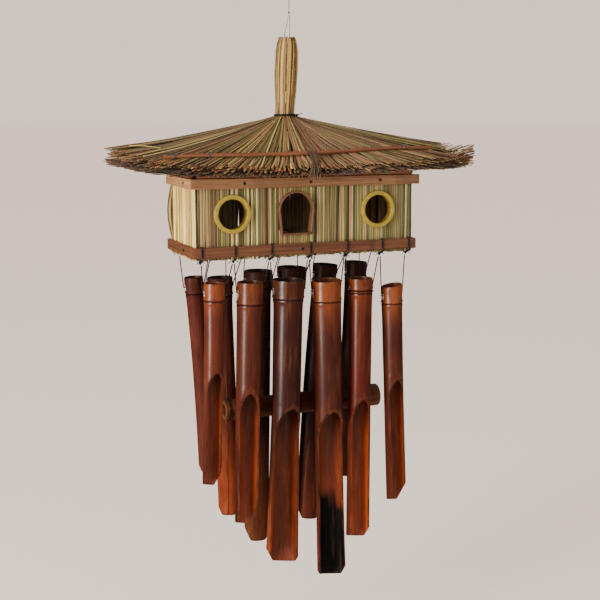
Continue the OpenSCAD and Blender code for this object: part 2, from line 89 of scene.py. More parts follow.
slat_low, slat_high = (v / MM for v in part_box("front_bottom_slat"))
back_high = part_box("back_bottom_slat")[1] / MM
HUT_Z = slat_low.z
HUT_W = slat_high.x - slat_low.x
HUT_D = back_high.y - slat_low.y
HUT_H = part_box("front_top_slat")[1].z / MM - HUT_Z
HUT = np.array([slat_low.x + HUT_W / 2, 0, HUT_Z])
LEFT = np.array([slat_low.x, 0, HUT_Z])
AXIS = np.array([0, 0, HUT_Z])
NECK_X = -5.0
ROOF = np.array([NECK_X, 0, HUT_Z])

SLAT_T = 3.5
STRAW_T = 3.0
RAIL_T = 3.0
TOP_SLAT_H = 10.3
BOTTOM_SLAT_H = slat_high.z - slat_low.z
SLAT_Y = HUT_D / 2
STRAW_Y = SLAT_Y - SLAT_T
RAIL_Y = STRAW_Y - STRAW_T
INSIDE_Y = RAIL_Y - RAIL_T
SLAT_X = HUT_W / 2
STRAW_X = SLAT_X - SLAT_T
RAIL_X = STRAW_X - STRAW_T
INSIDE_X = RAIL_X - RAIL_T
TOP_SLAT_Z = HUT_H - TOP_SLAT_H
NECK_H = 140.0
NECK_R = 10.0
ROW_Y = 40.0

# ---------- colours ----------


def srgb(r, g, b):
    """The linear colour of an 8-bit screen colour."""
    c = np.array([r, g, b], float) / 255
    return np.where(c <= 0.04045, c / 12.92, ((c + 0.055) / 1.055) ** 2.4)


def palette(*colours):
    return np.array([srgb(*c) for c in colours])


def pick(rng, colours, spread=0.08):
    """One of the colours, made a little lighter or darker and warmer or cooler."""
    base = colours[rng.integers(len(colours))]
    return np.clip(base * (1 + rng.normal(0, spread)) * (1 + rng.normal(0, spread / 3, 3)), 0, 1)


def between(a, b, share):
    """Colours from a to b, for an array of shares."""
    share = np.asarray(share, float)[..., None]
    return a + (b - a) * share


# ---------- meshes ----------


def rounded_rect(w, h, r, steps=3):
    """Section of a plank, w by h with rounded corners."""
    points = []
    for cx, cy, start in ((1, 1, 0), (-1, 1, 90), (-1, -1, 180), (1, -1, 270)):
        for k in range(steps + 1):
            a = math.radians(start + 90 * k / steps)
            points.append((cx * (w / 2 - r) + r * math.cos(a), cy * (h / 2 - r) + r * math.sin(a)))
    return np.array(points)


def circle(n):
    """n angles, evenly round a circle."""
    return np.linspace(0, 2 * math.pi, n, endpoint=False)


def oval(w, h, sides=8):
    """Section of a round or flat bar."""
    a = circle(sides)
    return np.stack([w / 2 * np.cos(a), h / 2 * np.sin(a)], 1)


def lobed(d):
    """Section of a twisted cord of two strands."""
    depth = 0.14
    a = circle(10)
    r = d / 2 * (1 - depth + depth * np.cos(2 * a))
    return np.stack([r * np.cos(a), r * np.sin(a)], 1)


def smooth_path(points, step):
    """A smooth curve through the points, with a point about every step."""
    p = np.array(points, float)
    ends = np.vstack([2 * p[0] - p[1], p, 2 * p[-1] - p[-2]])
    out = []
    for i in range(len(p) - 1):
        a, b, c, d = ends[i : i + 4]
        n = max(1, math.ceil(np.linalg.norm(c - b) / step))
        t = np.arange(n)[:, None] / n
        square, cube = 2 * a - 5 * b + 4 * c - d, 3 * b - a - 3 * c + d
        out.append(0.5 * (2 * b + (c - a) * t + square * t**2 + cube * t**3))
    return np.vstack(out + [p[-1:]])


def distances(path):
    """How far each point of a path is from its start, along the path."""
    return np.concatenate([[0], np.cumsum(np.linalg.norm(np.diff(path, axis=0), axis=1))])


def twist_round(n, turns):
    """Twist of n points round a closed loop, for that many turns in all."""
    return np.arange(n) / n * 2 * math.pi * turns


def sweep(path, section, up=(0, 0, 1), size=1.0, twist=0.0, closed=False):
    """Points of a section carried along a path, as rows by columns, and each row's distance."""
    path = np.asarray(path, float)
    n = len(path)
    if closed:
        tangent = np.roll(path, -1, 0) - np.roll(path, 1, 0)
    else:
        tangent = np.gradient(path, axis=0)
    tangent /= np.linalg.norm(tangent, axis=1)[:, None]
    up = np.broadcast_to(np.asarray(up, float), (n, 3))
    u = up - tangent * np.sum(up * tangent, 1)[:, None]
    u /= np.linalg.norm(u, axis=1)[:, None]
    v = np.cross(tangent, u)
    size = np.broadcast_to(np.asarray(size, float), (n,))[:, None]
    angle = np.broadcast_to(np.asarray(twist, float), (n,))[:, None]
    a, b = section[None, :, 0] * size, section[None, :, 1] * size
    a, b = a * np.cos(angle) - b * np.sin(angle), a * np.sin(angle) + b * np.cos(angle)
    points = path[:, None] + a[..., None] * u[:, None] + b[..., None] * v[:, None]
    return points, distances(path)


class Shape:
    """A mesh put together from grids of points, with a tint and a grain place at each point."""

    def __init__(self):
        self.points, self.tints, self.grains = [], [], []
        self.faces, self.face_slots = [], []
        self.count = 0

    def grid(self, points, tint, grain, wrap=True, closed=False, slot=0, caps=True, cap_slot=None):
        """Adds rows by columns of points.

        wrap joins the last column to the first, and closed the last row to the first.
        """
        n, m = points.shape[:2]
        start = self.count
        self.points.append(points.reshape(-1, 3))
        tint = np.asarray(tint, float)
        if tint.ndim == 2:
            tint = tint[:, None, :]
        self.tints.append(np.broadcast_to(tint, (n, m, 3)).reshape(-1, 3))
        self.grains.append(grain.reshape(-1, 3))
        self.count += n * m
        rows = np.arange(n if closed else n - 1)
        cols = np.arange(m if wrap else m - 1)
        i, j = np.meshgrid(rows, cols, indexing="ij")
        i2, j2 = (i + 1) % n, (j + 1) % m
        quads = np.stack([i * m + j, i * m + j2, i2 * m + j2, i2 * m + j], -1).reshape(-1, 4)
        self.faces.extend((start + quads).tolist())
        self.face_slots.extend([slot] * len(quads))
        if caps and wrap and not closed:
            cap = slot if cap_slot is None else cap_slot
            self.faces.append([start + k for k in range(m - 1, -1, -1)])
            self.faces.append([start + (n - 1) * m + k for k in range(m)])
            self.face_slots.extend([cap, cap])

    def bar(
        self, path, section, tint, seed, up=(0, 0, 1), size=1.0, twist=0.0, closed=False, **more
    ):
        """Adds a section swept along a path. Its grain runs along the path."""
        points, along = sweep(path, section, up, size, twist, closed)
        self.grid(points, tint, grain_of(section, along, seed), closed=closed, **more)

    def finish(self, name, body, origin, slot, nodes, materials=None, weld=False):
        """Makes the object, gives it to its body and hides the CAD nodes it stands for."""
        mesh = bpy.data.meshes.new(name)
        points = (np.vstack(self.points) + origin) * MM
        mesh.from_pydata(points.tolist(), [], self.faces)
        mesh.polygons.foreach_set("material_index", self.face_slots)
        mesh.polygons.foreach_set("use_smooth", [True] * len(self.faces))
        tint = mesh.attributes.new("tint", "FLOAT_COLOR", "POINT")
        rgba = np.ones((len(points), 4), np.float32)
        rgba[:, :3] = np.clip(np.vstack(self.tints), 0, 1)
        tint.data.foreach_set("color", rgba.ravel())
        grain = mesh.attributes.new("grain", "FLOAT_VECTOR", "POINT")
        grain.data.foreach_set("vector", np.vstack(self.grains).astype(np.float32).ravel())
        for m in materials or SLOT_MATERIALS[slot]:
            mesh.materials.append(m)
        mesh.update()
        obj = bpy.data.objects.new(name, mesh)
        bpy.context.scene.collection.objects.link(obj)
        if weld:
            weld_mesh(mesh)
        mesh.set_sharp_from_angle(angle=SHARP_ANGLE)
        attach(obj, body)
        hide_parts(*nodes)
        return obj


def weld_mesh(mesh):
    """Joins points that lie on each other and makes the faces look outwards."""
    work = bmesh.new()
    work.from_mesh(mesh)
    bmesh.ops.remove_doubles(work, verts=work.verts, dist=2e-6)
    bmesh.ops.dissolve_degenerate(work, edges=work.edges, dist=1e-6)
    bmesh.ops.recalc_face_normals(work, faces=work.faces)
    work.to_mesh(mesh)
    work.free()
    mesh.update()


def grain_of(section, along, seed):
    """Grain places of a swept bar: across the section, and along it."""
    n, m = len(along), len(section)
    g = np.zeros((n, m, 3))
    g[..., 0] = section[None, :, 0] + 97.0 * seed
    g[..., 1] = section[None, :, 1] + 31.0 * seed
    g[..., 2] = along[:, None]
    return g


def wave(x, seed):
    """A smooth wandering value from about -1 to 1, for numbers x."""
    rng = np.random.default_rng(seed)
    total = np.zeros_like(np.asarray(x, float))
    for k, share in ((1.0, 0.5), (2.3, 0.3), (5.1, 0.2)):
        total = total + share * np.sin(np.asarray(x) * k + rng.uniform(0, 6.28))
    return total


# ---------- materials ----------


class Look:
    """A node material whose colour is the mesh's tint, varied along the grain."""

    def __init__(self, name, roughness):
        self.material = bpy.data.materials.new(name)
        self.material.use_nodes = True
        self.nodes = self.material.node_tree.nodes
        self.links = self.material.node_tree.links
        self.shader = self.nodes["Principled BSDF"]
        self.shader.inputs["Roughness"].default_value = roughness
        self.colour = self.attribute("tint", "Color")
        self.place = self.attribute("grain", "Vector")

    def attribute(self, name, output):
        node = self.nodes.new("ShaderNodeAttribute")
        node.attribute_name = name
        return node.outputs[output]

    def noise(self, scale, detail=4.0, shift=0.0, distortion=0.0):
        """Noise in the grain's own directions; scale is cells per millimetre."""
        mapping = self.nodes.new("ShaderNodeMapping")
        mapping.inputs["Scale"].default_value = scale
        mapping.inputs["Location"].default_value = (shift, shift * 0.7, shift * 0.3)
        self.links.new(self.place, mapping.inputs["Vector"])
        node = self.nodes.new("ShaderNodeTexNoise")
        node.inputs["Scale"].default_value = 1.0
        node.inputs["Detail"].default_value = detail
        node.inputs["Roughness"].default_value = 0.6
        node.inputs["Distortion"].default_value = distortion
        self.links.new(mapping.outputs["Vector"], node.inputs["Vector"])
        return node.outputs["Fac"]

    def ramp(self, value, low, high, start=0.3, end=0.7):
        """A value spread from start..end to the colours or greys low..high."""
        node = self.nodes.new("ShaderNodeValToRGB")
        node.color_ramp.elements[0].position = start
        node.color_ramp.elements[1].position = end
        for element, c in zip(node.color_ramp.elements, (low, high)):
            c = (c, c, c) if isinstance(c, (int, float)) else tuple(c)
            element.color = (*c, 1)
        self.links.new(value, node.inputs["Fac"])
        return node.outputs["Color"]

    def mix(self, kind, other, share=1.0):
        """Blends another colour into the material's colour."""
        node = self.nodes.new("ShaderNodeMix")
        node.data_type = "RGBA"
        node.blend_type = kind
        self.links.new(self.colour, node.inputs[6])
        if hasattr(other, "links"):
            self.links.new(other, node.inputs[7])
        else:
            node.inputs[7].default_value = (*other, 1)
        if hasattr(share, "links"):
            self.links.new(share, node.inputs[0])
        else:
            node.inputs[0].default_value = share
        self.colour = node.outputs[2]
        return self

    def bump(self, value, strength, distance):
        node = self.nodes.new("ShaderNodeBump")
        node.inputs["Strength"].default_value = strength
        node.inputs["Distance"].default_value = distance * MM
        self.links.new(value, node.inputs["Height"])
        if self.shader.inputs["Normal"].is_linked:
            self.links.new(self.shader.inputs["Normal"].links[0].from_socket, node.inputs["Normal"])
        self.links.new(node.outputs["Normal"], self.shader.inputs["Normal"])
        return self

    def gloss(self, value, low, high):
        """Roughness that goes from low to high with a noise value."""
        self.links.new(self.ramp(value, low, high), self.shader.inputs["Roughness"])
        return self

    def set(self, **values):
        for name, value in values.items():
            self.shader.inputs[name.replace("_", " ")].default_value = value
        return self

    def done(self):
        self.links.new(self.colour, self.shader.inputs["Base Color"])
        return self.material


def make_straw(name, fibre, contrast, roughness, sheen=0.0, stain=(0.35, 0.22, 0.12)):
    """Dry straw or reed: fine fibres along it, with brown stains."""
    look = Look(name, roughness)
    fibres = look.noise((fibre, fibre, 0.03), detail=3)
    look.mix("MULTIPLY", look.ramp(fibres, 1 - contrast, 1.0, 0.32, 0.62))
    stains = look.noise((0.12, 0.12, 0.05), detail=4, shift=11)
    look.mix("MULTIPLY", stain, look.ramp(stains, 0.0, 0.55, 0.56, 0.78))
    look.bump(fibres, 0.5, 0.25)
    look.gloss(look.noise((0.5, 0.5, 0.05), shift=5), roughness - 0.12, roughness + 0.12)
    return look.set(Sheen_Weight=sheen, Specular_IOR_Level=0.35).done()


def make_wood(name, fibre, contrast, roughness, dark, coat=0.0):
    """Planed or split wood: long fibres, pores and softer bands."""
    look = Look(name, roughness)
    fibres = look.noise((fibre, fibre, 0.035), detail=6, distortion=0.3)
    bands = look.noise((0.25, 0.35, 0.008), detail=2, shift=7)
    look.mix("MULTIPLY", look.ramp(bands, dark, (1, 1, 1), 0.3, 0.68))
    look.mix("MULTIPLY", look.ramp(fibres, 1 - contrast, 1.0, 0.35, 0.6))
    pores = look.noise((3.0, 3.0, 0.12), detail=1, shift=3)
    look.mix("MULTIPLY", (0.45, 0.34, 0.26), look.ramp(pores, 0.0, 0.6, 0.64, 0.74))
    look.bump(fibres, 0.45, 0.2)
    look.gloss(bands, roughness - 0.08, roughness + 0.1)
    return look.set(Coat_Weight=coat, Coat_Roughness=0.25).done()


def make_bamboo(name, roughness, coat, contrast, bump, specular=0.3):
    """Stained bamboo culm: fine vertical fibres, uneven stain and small dark flecks."""
    look = Look(name, roughness)
    fibres = look.noise((1.6, 1.6, 0.03), detail=5)
    clouds = look.noise((0.10, 0.10, 0.03), detail=4, shift=9, distortion=0.4)
    look.mix("MULTIPLY", look.ramp(clouds, (0.66, 0.56, 0.52), (1, 1, 1), 0.32, 0.60))
    look.mix("MULTIPLY", look.ramp(fibres, 1 - contrast, 1.0, 0.34, 0.62))
    glow = look.noise((0.22, 0.22, 0.018), detail=3, shift=21)
    look.mix("SCREEN", (0.16, 0.05, 0.015), look.ramp(glow, 0.0, 0.5, 0.56, 0.76))
    flecks = look.noise((1.2, 1.2, 0.35), detail=2, shift=15)
    look.mix("MULTIPLY", (0.25, 0.17, 0.12), look.ramp(flecks, 0.0, 0.8, 0.66, 0.72))
    look.bump(fibres, bump, 0.12)
    look.gloss(clouds, roughness + 0.10, roughness - 0.06)
    return look.set(Coat_Weight=coat, Coat_Roughness=0.22, Specular_IOR_Level=specular).done()


def make_cord(name, roughness):
    """Waxed twisted cord: the twist is in the mesh, the fibres are here."""
    look = Look(name, roughness)
    fibres = look.noise((4.0, 4.0, 1.2), detail=4)
    look.mix("MULTIPLY", look.ramp(fibres, 0.55, 1.0, 0.3, 0.7))
    look.bump(fibres, 0.5, 0.08)
    return look.set(Sheen_Weight=0.04, Specular_IOR_Level=0.3).done()


def make_metal(name):
    """Dull wire and nail heads, with rust in places."""
    look = Look(name, 0.42)
    rust = look.noise((0.9, 0.9, 0.5), detail=5)
    look.mix("MULTIPLY", (0.45, 0.24, 0.13), look.ramp(rust, 0.0, 0.7, 0.5, 0.7))
    look.gloss(rust, 0.35, 0.7)
    return look.set(Metallic=0.85).done()


ROOF_STRAW = make_straw("roof_straw", 2.2, 0.42, 0.55, sheen=0.1)
STRAW_END = make_straw("straw_end", 3.0, 0.6, 0.8)
WALL_REED = make_straw("wall_reed", 1.5, 0.34, 0.5, stain=(0.55, 0.36, 0.22))
PALE_WOOD = make_wood("pale_wood", 1.1, 0.42, 0.58, dark=(0.64, 0.50, 0.42))
RATTAN = make_wood("rattan_strip", 1.8, 0.4, 0.45, dark=(0.66, 0.50, 0.42), coat=0.15)
RING_BAMBOO = make_wood("ring_bamboo", 1.4, 0.28, 0.38, dark=(0.72, 0.66, 0.45), coat=0.3)
CULM = make_bamboo("stained_culm", 0.34, 0.34, 0.34, 0.25, specular=0.28)
CULM_DULL = make_bamboo("dull_culm", 0.6, 0.04, 0.4, 0.4, specular=0.14)
CULM_INSIDE = make_bamboo("culm_inside", 0.46, 0.25, 0.42, 0.5)
CULM_CUT = make_bamboo("culm_cut_edge", 0.48, 0.15, 0.35, 0.5)
BLACK_CORD = make_cord("waxed_black_cord", 0.45)
LINE_CORD = make_cord("grey_line", 0.4)
METAL = make_metal("dull_steel")

# a slot's materials: the surface, and the cut ends where they look different
SLOT_MATERIALS = {
    "hanging_line": [LINE_CORD],
    "black_cord": [BLACK_CORD],
    "thatch_straw": [ROOF_STRAW, STRAW_END],
    "wall_straw": [WALL_REED, STRAW_END],
    "pale_wood": [PALE_WOOD],
    "rattan": [RATTAN],
    "green_bamboo": [RING_BAMBOO],
    "steel": [METAL],
}

BLACK = srgb(20, 19, 21)
LINE_GREY = srgb(74, 74, 78)

# ---------- cords ----------

CORD_D = 1.4
LINE_D = 0.9
TAIL_D = 1.2
CORD_PITCH = 4.0  # length of one turn of the twist, in diameters
SWELL = 1.06  # the strands stand out past the cord's diameter


def add_cord(shape, route, d, tint, seed, step=None, up=(0, 1, 0)):
    """A twisted cord along a smooth route."""
    path = smooth_path(route, step or d * 0.8)
    twist = distances(path) / (d * CORD_PITCH) * 2 * math.pi
    shape.bar(path, lobed(d * SWELL), tint, seed, up=up, twist=twist)
    return path


def add_knot(shape, place, r, d, tint, seed, turn=0.0):
    """A tied knot: the cord runs round a trefoil of outer radius r."""
    a = circle(56)
    k = (r - d / 2) / 3.0
    x = k * (np.sin(a) + 2 * np.sin(2 * a))
    y = k * 1.5 * -np.sin(3 * a)
    z = k * (np.cos(a) - 2 * np.cos(2 * a))
    c, s = math.cos(turn), math.sin(turn)
    loop = np.stack([x * c - y * s, x * s + y * c, z], 1)
    shape.bar(loop + place, oval(d, d), tint, seed, up=(0.3, 0.9, 0.3), closed=True)
    core = np.array(place) + np.linspace([0, 0, -r * 0.55], [0, 0, r * 0.55], 7)
    core_size = np.array([0.5, 1.1, 1.4, 1.5, 1.4, 1.1, 0.5]) * r * 0.8
    shape.bar(core, oval(1, 1, 10), tint, seed, up=(0, 1, 0), size=core_size)


LOOP_KNOT_Z = 282.0
LOOP_R = 6.95
LOOP_TOP_Z = 296.0
LINE_KNOT_Z = 247.0
LINE_KNOT_R = 1.3
HANGING_LINE_ROUTE = [(0, 0, z) for z in (280.4, 276, 272, 268, 264, 260, 256, 252, 248.6)]
STRIKER_TAIL_ROUTE = [
    (50, 0, -184.9), (50.2, 0, -190), (50.6, 0, -198), (50.8, 0, -206), (50.5, 0, -214),
    (50, 0, -222), (49.6, 0, -230), (49.5, 0, -238), (49.7, 0, -246), (50, 0, -254),
    (50.3, 0, -262), (50.4, 0, -270), (50.2, 0, -278), (50, 0, -286), (49.9, 0, -290),
]

shape = Shape()
a = circle(64)
loop_centre = LOOP_TOP_Z - LOOP_R + LINE_D / 2
path = np.stack([LOOP_R * np.sin(a), 0 * a, loop_centre - LOOP_R * np.cos(a)], 1)
shape.bar(
    path, lobed(LINE_D * SWELL), LINE_GREY, 0.1, up=(0, 1, 0), closed=True,
    twist=twist_round(len(a), 12),
)
add_knot(shape, (0, 0, LOOP_KNOT_Z), LINE_KNOT_R + 0.1, LINE_D, LINE_GREY, 0.2)
hanging_loop = shape.finish(
    "hanging_loop_cord", "hook_loop", AXIS, "hanging_line", ["hanging_loop"]
)

shape = Shape()
add_knot(shape, (0, 0, LINE_KNOT_Z), LINE_KNOT_R + 0.1, LINE_D, LINE_GREY, 0.4, turn=1.0)
line_knot = shape.finish("line_knot_cord", "knot", AXIS, "hanging_line", ["line_knot"])

shape = Shape()
line_path = add_cord(shape, HANGING_LINE_ROUTE, LINE_D, LINE_GREY, 0.3)
hanging_line = shape.finish("hanging_line_cord", "line", AXIS, "hanging_line", ["hanging_line"])
line_path = (line_path + AXIS) * MM

shape = Shape()
tail_path = add_cord(shape, STRIKER_TAIL_ROUTE, TAIL_D, BLACK, 0.5, step=2.0)
striker_tail = shape.finish("striker_tail_cord", "striker", LEFT, "black_cord", ["striker_tail"])
tail_path = (tail_path + LEFT) * MM

STRAND_X = 2.9
KNOT_H = 81.0
KNOT_LEAN = math.radians(2.1)  # the topknot leans to the right
knot_shift = KNOT_H * math.tan(KNOT_LEAN)
strand_points = [
    (0, 0.7, LINE_KNOT_Z - LINE_KNOT_R - 0.3 - LINE_D / 2), (-0.6, 1.4, 236),
    (NECK_X + knot_shift, STRAND_X, NECK_H + KNOT_H + 1),
    (NECK_X + knot_shift / 2, STRAND_X, NECK_H + KNOT_H / 2), (NECK_X, STRAND_X, NECK_H),
    (NECK_X, STRAND_X, HUT_H - 0.1), (NECK_X, STRAND_X - 1.2, HUT_H - 1.6),
]
strands = [[(x + side * apart, 0, z) for x, apart, z in strand_points] for side in (-1, 1)]
shape = Shape()
add_cord(shape, strands[0] + strands[1][::-1], LINE_D, LINE_GREY, 0.6, step=2.0)
shape.finish("hanger_strand_cord", "hut", AXIS, "hanging_line", ["hanger_strands"])

# ---------- roof ----------

# along, across, height of the upper and of the lower edge, from the right tip along the front
EAVE_FRONT = [
    (230, 0, 106, 90), (220, -22, 103, 86), (195, -40, 98, 84), (155, -55, 95, 84),
    (123, -60, 93, 83), (65, -62, 90, 81), (5, -62, 89, 80), (-55, -62, 89, 80),
    (-113, -61, 92, 82), (-145, -58, 95, 84), (-167, -52, 98, 87), (-185, -30, 104, 91),
    (-195, 0, 110, 97),
]
EAVE = np.array(EAVE_FRONT + [(x, -y, zu, zl) for x, y, zu, zl in EAVE_FRONT[-2:0:-1]], float)
THATCH_SAG = 2.0
ATTIC = ((0.5, 103.0), (1.0, 86.0))  # underside at shares of the way to the hut's edge
ATTIC_TOP = 124.0

eave_loop = np.vstack([EAVE, EAVE[:1]])
eave_run = distances(eave_loop[:, :2])
EAVE_LENGTH = eave_run[-1]


def eave_at(s):
    """The eave point at distance s round the eave."""
    s = np.mod(s, EAVE_LENGTH)
    return np.array([np.interp(s, eave_run, eave_loop[:, k]) for k in range(4)])


def roof_point(s, u, depth):
    """A point of the roof, at distance s round the eave.

    u runs from the neck (0) to the eave (1), depth from the top (0) to the underside (1).
    """
    x, y, z_up, z_low = eave_at(s)
    reach = math.hypot(x, y)
    foot = NECK_R / reach
    share = foot + (1 - foot) * u
    top = NECK_H + (z_up - NECK_H) * u - 4 * THATCH_SAG * u * (1 - u)
    # where the attic ends: 8 mm past the hut's ends, and above its long walls
    edge = min((HUT_W / 2 + 8) / max(abs(x), 1e-6), SLAT_Y / max(abs(y), 1e-6), 0.95)
    under = np.interp(
        share,
        [foot, *(edge * k for k, _ in ATTIC), 1.0],
        [ATTIC_TOP, *(z for _, z in ATTIC), z_low],
    )
    return np.stack([x * share, y * share, top + (under - top) * depth], -1)


TOP_STRAWS = palette(
    (150, 122, 68), (134, 107, 58), (168, 140, 84), (116, 94, 50), (100, 82, 46),
    (148, 104, 64), (130, 110, 60), (134, 88, 60), (184, 158, 96),
)
# darker straws for the inner layers and the underside, painted shade inside and under the thatch;
# the tuft uses them too
DEEP_STRAWS_PAINTED_SHADE = palette((98, 78, 44), (112, 88, 50), (80, 64, 38), (108, 74, 50))
STRAW_TONE = 0.98
FRAY = (0.98, 0.66, 0.54)  # what is left of a straw's colour at its weathered end

# straws in a layer, how far in they start, how deep they lie at each end, their colours
THATCH_LAYERS = [
    (430, (0.00, 0.02), (0.02, 0.10), TOP_STRAWS),
    (460, (0.08, 0.34), (0.03, 0.24), TOP_STRAWS),
    (420, (0.36, 0.62), (0.05, 0.50), TOP_STRAWS),
    (360, (0.30, 0.60), (0.45, 0.78), DEEP_STRAWS_PAINTED_SHADE),
    (420, (0.02, 0.30), (0.95, 0.98), DEEP_STRAWS_PAINTED_SHADE),
]
STRAW_W = 2.4
STRAW_SECTION = oval(STRAW_W * 0.42, STRAW_W, 6)
TIP_REACH = 46.0  # the right tip's bundle, to either side of the tip
TIP_OPEN = TIP_REACH + 12  # the top layer stops short of the eave this far to either side

shape = Shape()
rng = np.random.default_rng(11)
for layer, (count, starts, depths, colours) in enumerate(THATCH_LAYERS):
    for k in range(count):
        s = (k + rng.uniform(-0.7, 0.7)) / count * EAVE_LENGTH
        s += 3.5 * math.sin(s / 9.0 + layer) + 2.5 * math.sin(s / 4.3 + 2 * layer)
        from_tip = min(s % EAVE_LENGTH, EAVE_LENGTH - s % EAVE_LENGTH)
        in_tip = from_tip < TIP_REACH and layer in (1, 2, 3)
        u0 = rng.uniform(*starts)
        u1 = 1.0 - abs(rng.normal(0, 0.024)) - 0.022 * (1 + math.sin(s / 13.0 + 1.3 * layer))
        if from_tip < TIP_OPEN and layer == 0:
            u1 = rng.uniform(0.76, 0.86)
        if in_tip:
            u1 = 1 - 0.35 * (1 - u1)
        u = np.linspace(u0, u1, 9)
        depth = depths[0] + (depths[1] - depths[0]) * u + rng.normal(0, 0.04)
        cross = rng.normal(0, 5.0) if layer < 3 else rng.normal(0, 9.0)
        lateral = wave(u * 5, int(rng.integers(1 << 30))) * rng.uniform(0.5, 3.6) + cross * u
        if in_tip:
            dip = np.exp(-(((u - 0.86) / 0.07) ** 2))
            target = rng.uniform(-0.25, 1.0)
            depth = depth + dip * 0.35 + (target - depth) * np.clip((u - 0.84) / 0.14, 0, 1)
            lateral = lateral * (1 - 0.5 * np.clip((u - 0.7) / 0.2, 0, 1))
        path = np.array([roof_point(s + a * v, v, d) for v, a, d in zip(u, lateral, depth)])
        lift = rng.exponential(0.8) if layer < 3 else 0
        path[:, 2] += lift * u**3 * rng.uniform(0.2, 1.6)
        tint = pick(rng, colours, 0.3) * STRAW_TONE
        fade = np.interp(u, [0, 0.1, 0.8, 0.93, 1], [0.7, 1, 1, 0.85, 0])[:, None]
        tint = tint * (fade + (1 - fade) * np.array(FRAY))
        size = np.interp(u, [0, 0.12, 0.5, 0.9, 1], [0.34, 0.55, 0.95, 1, 0.85])
        size *= rng.uniform(0.6, 1.15)
        shape.bar(path, STRAW_SECTION, tint, rng.uniform(), size=size, cap_slot=1)

# a loose yellow straw near the left tip, and a dark tuft tied to the front batten
YELLOW = srgb(214, 190, 96)
shape.bar(
    smooth_path([(-172, -20, 112.5), (-158, -23, 112.2), (-142, -27, 110)], 3.0),
    oval(0.9, 2.2, 6), YELLOW, 0.7, cap_slot=1,
)
for k in range(16):
    x = 11 + rng.normal(0, 2.6)
    drop = rng.uniform(14, 24)
    tuft = [
        (x, -49, 106), (x + rng.normal(0, 1), -53.5, 103),
        (x + rng.normal(0, 2), -59, 97 - drop * 0.3), (x + rng.normal(0, 3), -62.5, 100 - drop),
    ]
    tint = pick(rng, DEEP_STRAWS_PAINTED_SHADE, 0.2) * 0.75
    shape.bar(smooth_path(tuft, 3.0), oval(0.7, 1.5, 6), tint, rng.uniform(), cap_slot=1)

# a dark sheet between the layers, painted shade inside the thatch, keeps daylight out
SHADE_SHEET_TINT = srgb(60, 47, 28)
sheet_s = np.linspace(0, EAVE_LENGTH, 180, endpoint=False)
sheet_u = np.linspace(0, 0.93, 12)
for depth in (0.35, 0.8):
    rows = []
    for s in sheet_s:
        reach = 0.82 if min(s, EAVE_LENGTH - s) < TIP_OPEN else 1 - 0.03 * math.sin(s)
        rows.append([roof_point(s, u * reach, depth) for u in sheet_u])
    shade_sheet = np.array(rows).transpose(1, 0, 2)
    sheet_grain = np.stack([*np.broadcast_arrays(sheet_s[None], 0.0, 150 * sheet_u[:, None])], -1)
    shape.grid(shade_sheet, SHADE_SHEET_TINT, sheet_grain, caps=False)
shape.finish("thatch_straws", "hut", ROOF, "thatch_straw", ["thatch"])

KNOT_PROFILE = [(0, 10), (12, 10.6), (30, 11.9), (48, 12.5), (64, 12.3), (76, 11.1), (81, 9.1)]
KNOT_STRAWS = palette(
    (206, 166, 90), (184, 144, 74), (218, 184, 112), (150, 114, 56), (124, 94, 46),
    (196, 158, 92), (172, 142, 74), (98, 74, 38),
)
# straws in a layer, how far inside the outline, how far past the top
KNOT_LAYERS = ((66, 0.8, 1.0), (56, 1.9, 0.8), (40, 3.6, 0.0), (26, 5.4, -1.0))
KNOT_SHADE_CORE = srgb(70, 52, 28)
KNOT_TONE = 0.86
shape = Shape()
rng = np.random.default_rng(12)
knot_z, knot_r = np.array(KNOT_PROFILE).T
for count, inset, top in KNOT_LAYERS:
    for k in range(count):
        angle = (k + rng.uniform(-0.35, 0.35)) / count * 2 * math.pi
        z = np.linspace(-1.5, KNOT_H + top - rng.exponential(1.5), 12)
        r = np.interp(z, knot_z, knot_r) - inset + 0.3 * wave(z / 12, int(rng.integers(1 << 30)))
        lean = rng.normal(0, 0.06) * z / KNOT_H
        a = angle + lean + 0.05 * wave(z / 25, int(rng.integers(1 << 30)))
        x, y = r * np.cos(a), r * np.sin(a)
        path = np.stack([x + z * math.tan(KNOT_LEAN), y, NECK_H + z], 1)
        tone = np.interp(z, [0, 8, 72, 81], [0.7, 1, 1, 0.7])[:, None]
        up = np.array([math.cos(angle), math.sin(angle), 0])
        tint = pick(rng, KNOT_STRAWS, 0.2) * tone * KNOT_TONE
        seed = rng.uniform()
        size = rng.uniform(0.7, 1.2)
        shape.bar(path, oval(0.85, 1.5, 6), tint, seed, up=up, size=size, cap_slot=1)
# a dark core in the middle of the topknot: painted shade between its straws
core_z = np.linspace(0, KNOT_H - 7, 5)
core = np.stack([core_z * math.tan(KNOT_LEAN), 0 * core_z, NECK_H + core_z], 1)
shape.bar(core, oval(13, 13, 24), KNOT_SHADE_CORE, 0.4, up=(0, 1, 0), cap_slot=1)
shape.finish("topknot_straws", "hut", ROOF, "thatch_straw", ["topknot"])

TIE_R = 11.0
TIE_END = [(14.4, -2.5, 141.8), (16, -3.1, 142.9), (17.2, -3.6, 143.2), (18.5, -4, 144)]
shape = Shape()
turns = np.linspace(0, 2 * math.pi * 3, 130)
tie_z = NECK_H + 0.7 + 2.0 * turns / turns[-1]
tie = np.stack([TIE_R * np.cos(turns), TIE_R * np.sin(turns), tie_z], 1)
add_cord(shape, tie, 1.1, BLACK, 0.1, step=3.0, up=(0, 0, 1))
add_knot(shape, (13.2, -2, NECK_H + 1.6), 1.9, 1.0, BLACK, 0.2, turn=0.4)
add_cord(shape, TIE_END, 1.0, BLACK, 0.3)
shape.finish("neck_tie_cord", "hut", ROOF, "black_cord", ["neck_tie"])

